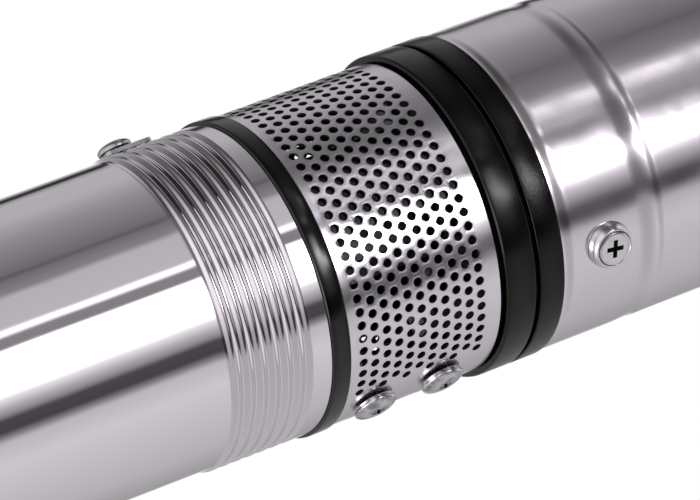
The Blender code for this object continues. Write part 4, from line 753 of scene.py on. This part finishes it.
def ramp(tree, value, low, high, stops):
    """Brightness along a value, from stops given as (value, brightness)."""
    place = add(tree, "ShaderNodeMapRange", {"Value": value, "From Min": low, "From Max": high})
    scaled = [((x - low) / (high - low), y / BRIGHTEST) for x, y in stops]
    line = add(tree, "ShaderNodeValToRGB", {"Fac": place.outputs[0]}, stops=scaled)
    return add(tree, "ShaderNodeMath", {0: line.outputs[0], 1: BRIGHTEST},
               operation="MULTIPLY").outputs[0]


def studio():
    """White for the camera; for light and reflections, cards, lamps and flags round the pump.

    A shell mirrors the studio at twice its PHI, so each is placed by the PHI where it shows.
    The lamps lean, so what the motor shell mirrors lower down has slid sideways.
    """
    # What the shells mirror, as (PHI, brightness), on the far side and the near side of PHI 0
    far = [(-90, 1.1), (-84, 0.9), (-80, 0.36), (-77, 0.03), (-74.5, 0.04), (-72, 0.40),
           (-69, 0.53), (-58, 0.53), (-46, 0.33), (-33, 0.19), (-31.8, 0.13), (-30.4, 0.20),
           (-26, 0.28), (-24, 0.57), (-14, 0.60), (-12.7, 1.8), (-11.9, 1.6), (-10.7, 0.28),
           (-7.4, 0.27), (-6.2, 2.4), (-3, 6.5), (0, 14.0)]
    near = [(0, 14.0), (3, 9.0), (6, 4.2), (7.5, 1.7), (9, 0.97), (12, 0.54), (14.2, 0.33),
            (16, 0.08), (20, 0.07), (22, 0.27), (24, 0.62), (32, 0.75), (42, 0.68), (60, 0.57),
            (70, 0.46), (82, 0.36), (86, 0.76), (90, 1.1)]
    # What curved-in edges and thread flanks mirror, above and below those bands
    rest = [(-90, 0.45), (-70, 0.35), (-58, 0.16), (-46, 0.07), (-34, 0.06), (-24, 0.18),
            (-6, 0.22), (1, 0.6), (7, 0.35), (13, 0.2), (15.5, 0.03), (20.5, 0.03), (24, 0.5),
            (60, 0.55), (90, 0.5)]
    low = [(-90, 0.3), (-79, 0.14), (-68, 0.03), (-52, 0.02), (-42, 0.06), (-32, 0.12),
           (4, 0.12), (9, 0.1), (19, 0.1), (23, 0.42), (60, 0.5), (90, 0.4)]
    # Soft boxes hung higher, which the thread's upper flanks mirror
    upper = [(-90, 0.42), (-52, 0.38), (-34, 0.75), (-20, 1.1), (6, 1.1), (18, 0.45),
             (30, 0.5), (90, 0.5)]
    # Degrees of PHI by which the lamps' lean slides each place lower down, and 10 added so
    # that none is negative
    slide = [(-90, 10), (-36, 14), (-24, 8), (-22, 18), (-20, 18), (-16, 15), (-10, 11),
             (-6, 7.2), (-3, 4.0), (0, 4.6), (3, 8.2), (6, 12), (18, 9.5), (24, 10), (90, 10)]
    world = bpy.data.worlds.new("studio")
    scene.world = world
    world.use_nodes = True
    tree = world.node_tree
    tree.nodes.clear()

    # PHI and height of the direction looked in
    way = add(tree, "ShaderNodeSeparateXYZ",
              {0: add(tree, "ShaderNodeTexCoord").outputs["Generated"]})
    height = way.outputs["Z"]
    left = add(tree, "ShaderNodeMath", {0: way.outputs["X"], 1: -1.0}, operation="MULTIPLY")
    front = add(tree, "ShaderNodeMath", {0: way.outputs["Y"], 1: -1.0}, operation="MULTIPLY")
    around = add(tree, "ShaderNodeMath", {0: left.outputs[0], 1: front.outputs[0]},
                 operation="ARCTAN2")
    phi = add(tree, "ShaderNodeMath", {0: around.outputs[0], 1: 90 / math.pi},
              operation="MULTIPLY").outputs[0]

    # The slide goes through its ramp halved, because that holds no more than BRIGHTEST, and
    # the 10 added to it, now 5, comes off again
    sunk = add(tree, "ShaderNodeMapRange", {"Value": height, "From Min": -0.416,
                                            "From Max": -0.442})
    halved = ramp(tree, phi, -90, 90, [(place, degrees / 2) for place, degrees in slide])
    slid = add(tree, "ShaderNodeMath", {0: halved, 1: -5.0}, operation="ADD")
    moved = add(tree, "ShaderNodeMath", {0: slid.outputs[0], 1: sunk.outputs[0]},
                operation="MULTIPLY")
    seat = add(tree, "ShaderNodeMath", {0: moved.outputs[0], 1: 2.0, 2: phi},
               operation="MULTIPLY_ADD").outputs[0]

    # Bands at the height that upright walls mirror, flanks round them, a pale roof above
    on_near = add(tree, "ShaderNodeMath", {0: seat, 1: 0.0}, operation="GREATER_THAN")
    bands = add(tree, "ShaderNodeMix",
                {"Factor": on_near.outputs[0], "A": ramp(tree, seat, -90, 0, far),
                 "B": ramp(tree, seat, 0, 90, near)}, data_type="FLOAT")
    flanks = add(tree, "ShaderNodeMix",
                 {"Factor": ramp(tree, height, -1, 1, [(-0.42, 0), (-0.40, 1)]),
                  "A": ramp(tree, phi, -90, 90, low),
                  "B": ramp(tree, phi, -90, 90, rest)}, data_type="FLOAT")
    roof = add(tree, "ShaderNodeMix",
               {"Factor": ramp(tree, height, -1, 1, [(0.5, 0), (0.9, 1)]),
                "A": ramp(tree, phi, -90, 90, upper),
                "B": ramp(tree, height, -1, 1, [(0.5, 0.8), (0.95, 1.0)])}, data_type="FLOAT")
    band_zone = ramp(tree, height, -1, 1, [(-0.54, 0), (-0.49, 1), (-0.34, 1), (-0.26, 0)])
    walls = add(tree, "ShaderNodeMix", {"Factor": band_zone, "A": flanks.outputs[0],
                                        "B": bands.outputs[0]}, data_type="FLOAT")
    above = ramp(tree, height, -1, 1, [(0.12, 0), (0.42, 1)])
    shade = add(tree, "ShaderNodeMix", {"Factor": above, "A": walls.outputs[0],
                                        "B": roof.outputs[0]}, data_type="FLOAT")
    rays = add(tree, "ShaderNodeLightPath")
    seen = add(tree, "ShaderNodeMix", {"Factor": rays.outputs["Is Camera Ray"],
                                       "A": shade.outputs[0], "B": 1.0}, data_type="FLOAT")
    back = add(tree, "ShaderNodeBackground",
               {"Color": linear("ffffff"), "Strength": seen.outputs[0]})
    add(tree, "ShaderNodeOutputWorld", {"Surface": back.outputs[0]})


def floor():
    """A pale round table that ends before the shells mirror it."""
    radius, fade_start, fade_end = 0.26, 0.07, 0.255
    bm = bmesh.new()
    bmesh.ops.create_circle(bm, cap_ends=True, segments=96, radius=radius)
    mesh = bpy.data.meshes.new("floor")
    bm.to_mesh(mesh)
    bm.free()
    made = bpy.data.objects.new("floor", mesh)
    scene.collection.objects.link(made)
    # Matt white card; towards its rim the camera sees it go over into the white background
    card = surface("matt_white_card", "f2f1f3", 0.0, (0.6, 0.75, 30), ((2, 2, 2), 0.01))
    tree = card.node_tree
    place = add(tree, "ShaderNodeTexCoord").outputs["Object"]
    reach = add(tree, "ShaderNodeVectorMath", {0: place}, operation="LENGTH").outputs["Value"]
    fade = add(tree, "ShaderNodeMapRange",
               {"Value": reach, "From Min": fade_start, "From Max": fade_end},
               interpolation_type="SMOOTHSTEP")
    seen = add(tree, "ShaderNodeLightPath").outputs["Is Camera Ray"]
    share = add(tree, "ShaderNodeMath", {0: fade.outputs[0], 1: seen}, operation="MULTIPLY")
    white = add(tree, "ShaderNodeEmission", {"Strength": 1.0})
    blend = add(tree, "ShaderNodeMixShader",
                {0: share.outputs[0], 1: tree.nodes["Principled BSDF"].outputs[0],
                 2: white.outputs[0]})
    tree.links.new(blend.outputs[0], tree.nodes["Material Output"].inputs["Surface"])
    mesh.materials.append(card)


def lights():
    """One large soft lamp overhead, in front of the pump and to its left."""
    data = bpy.data.lights.new("overhead", "AREA")
    data.shape = "DISK"
    data.size = 1.2
    data.energy = 11.0
    lamp = bpy.data.objects.new("overhead", data)
    lamp.location = (-0.5, -0.7, 2.0)
    aim = Vector((0.5, 0.7, -1.6))
    lamp.rotation_euler = aim.to_track_quat("-Z", "Y").to_euler()
    scene.collection.objects.link(lamp)


def camera():
    """The photograph's view, rolled so that the pump lies across; fitted to its edges and holes."""
    right = Vector((-0.35071, -0.39262, -0.85022))
    up = Vector((0.93649, -0.14592, -0.31891))
    back = right.cross(up)
    data = bpy.data.cameras.new("camera")
    data.sensor_width = 36.0
    data.lens = 323.5
    data.clip_start = 0.05
    made = bpy.data.objects.new("camera", data)
    turned = Matrix((right, up, back)).transposed().to_4x4()
    made.matrix_world = Matrix.Translation((0.0, -1.6385, 1.1030)) @ turned
    scene.collection.objects.link(made)
    scene.camera = made


studio()
floor()
lights()
camera()
scene.view_settings.view_transform = "Standard"
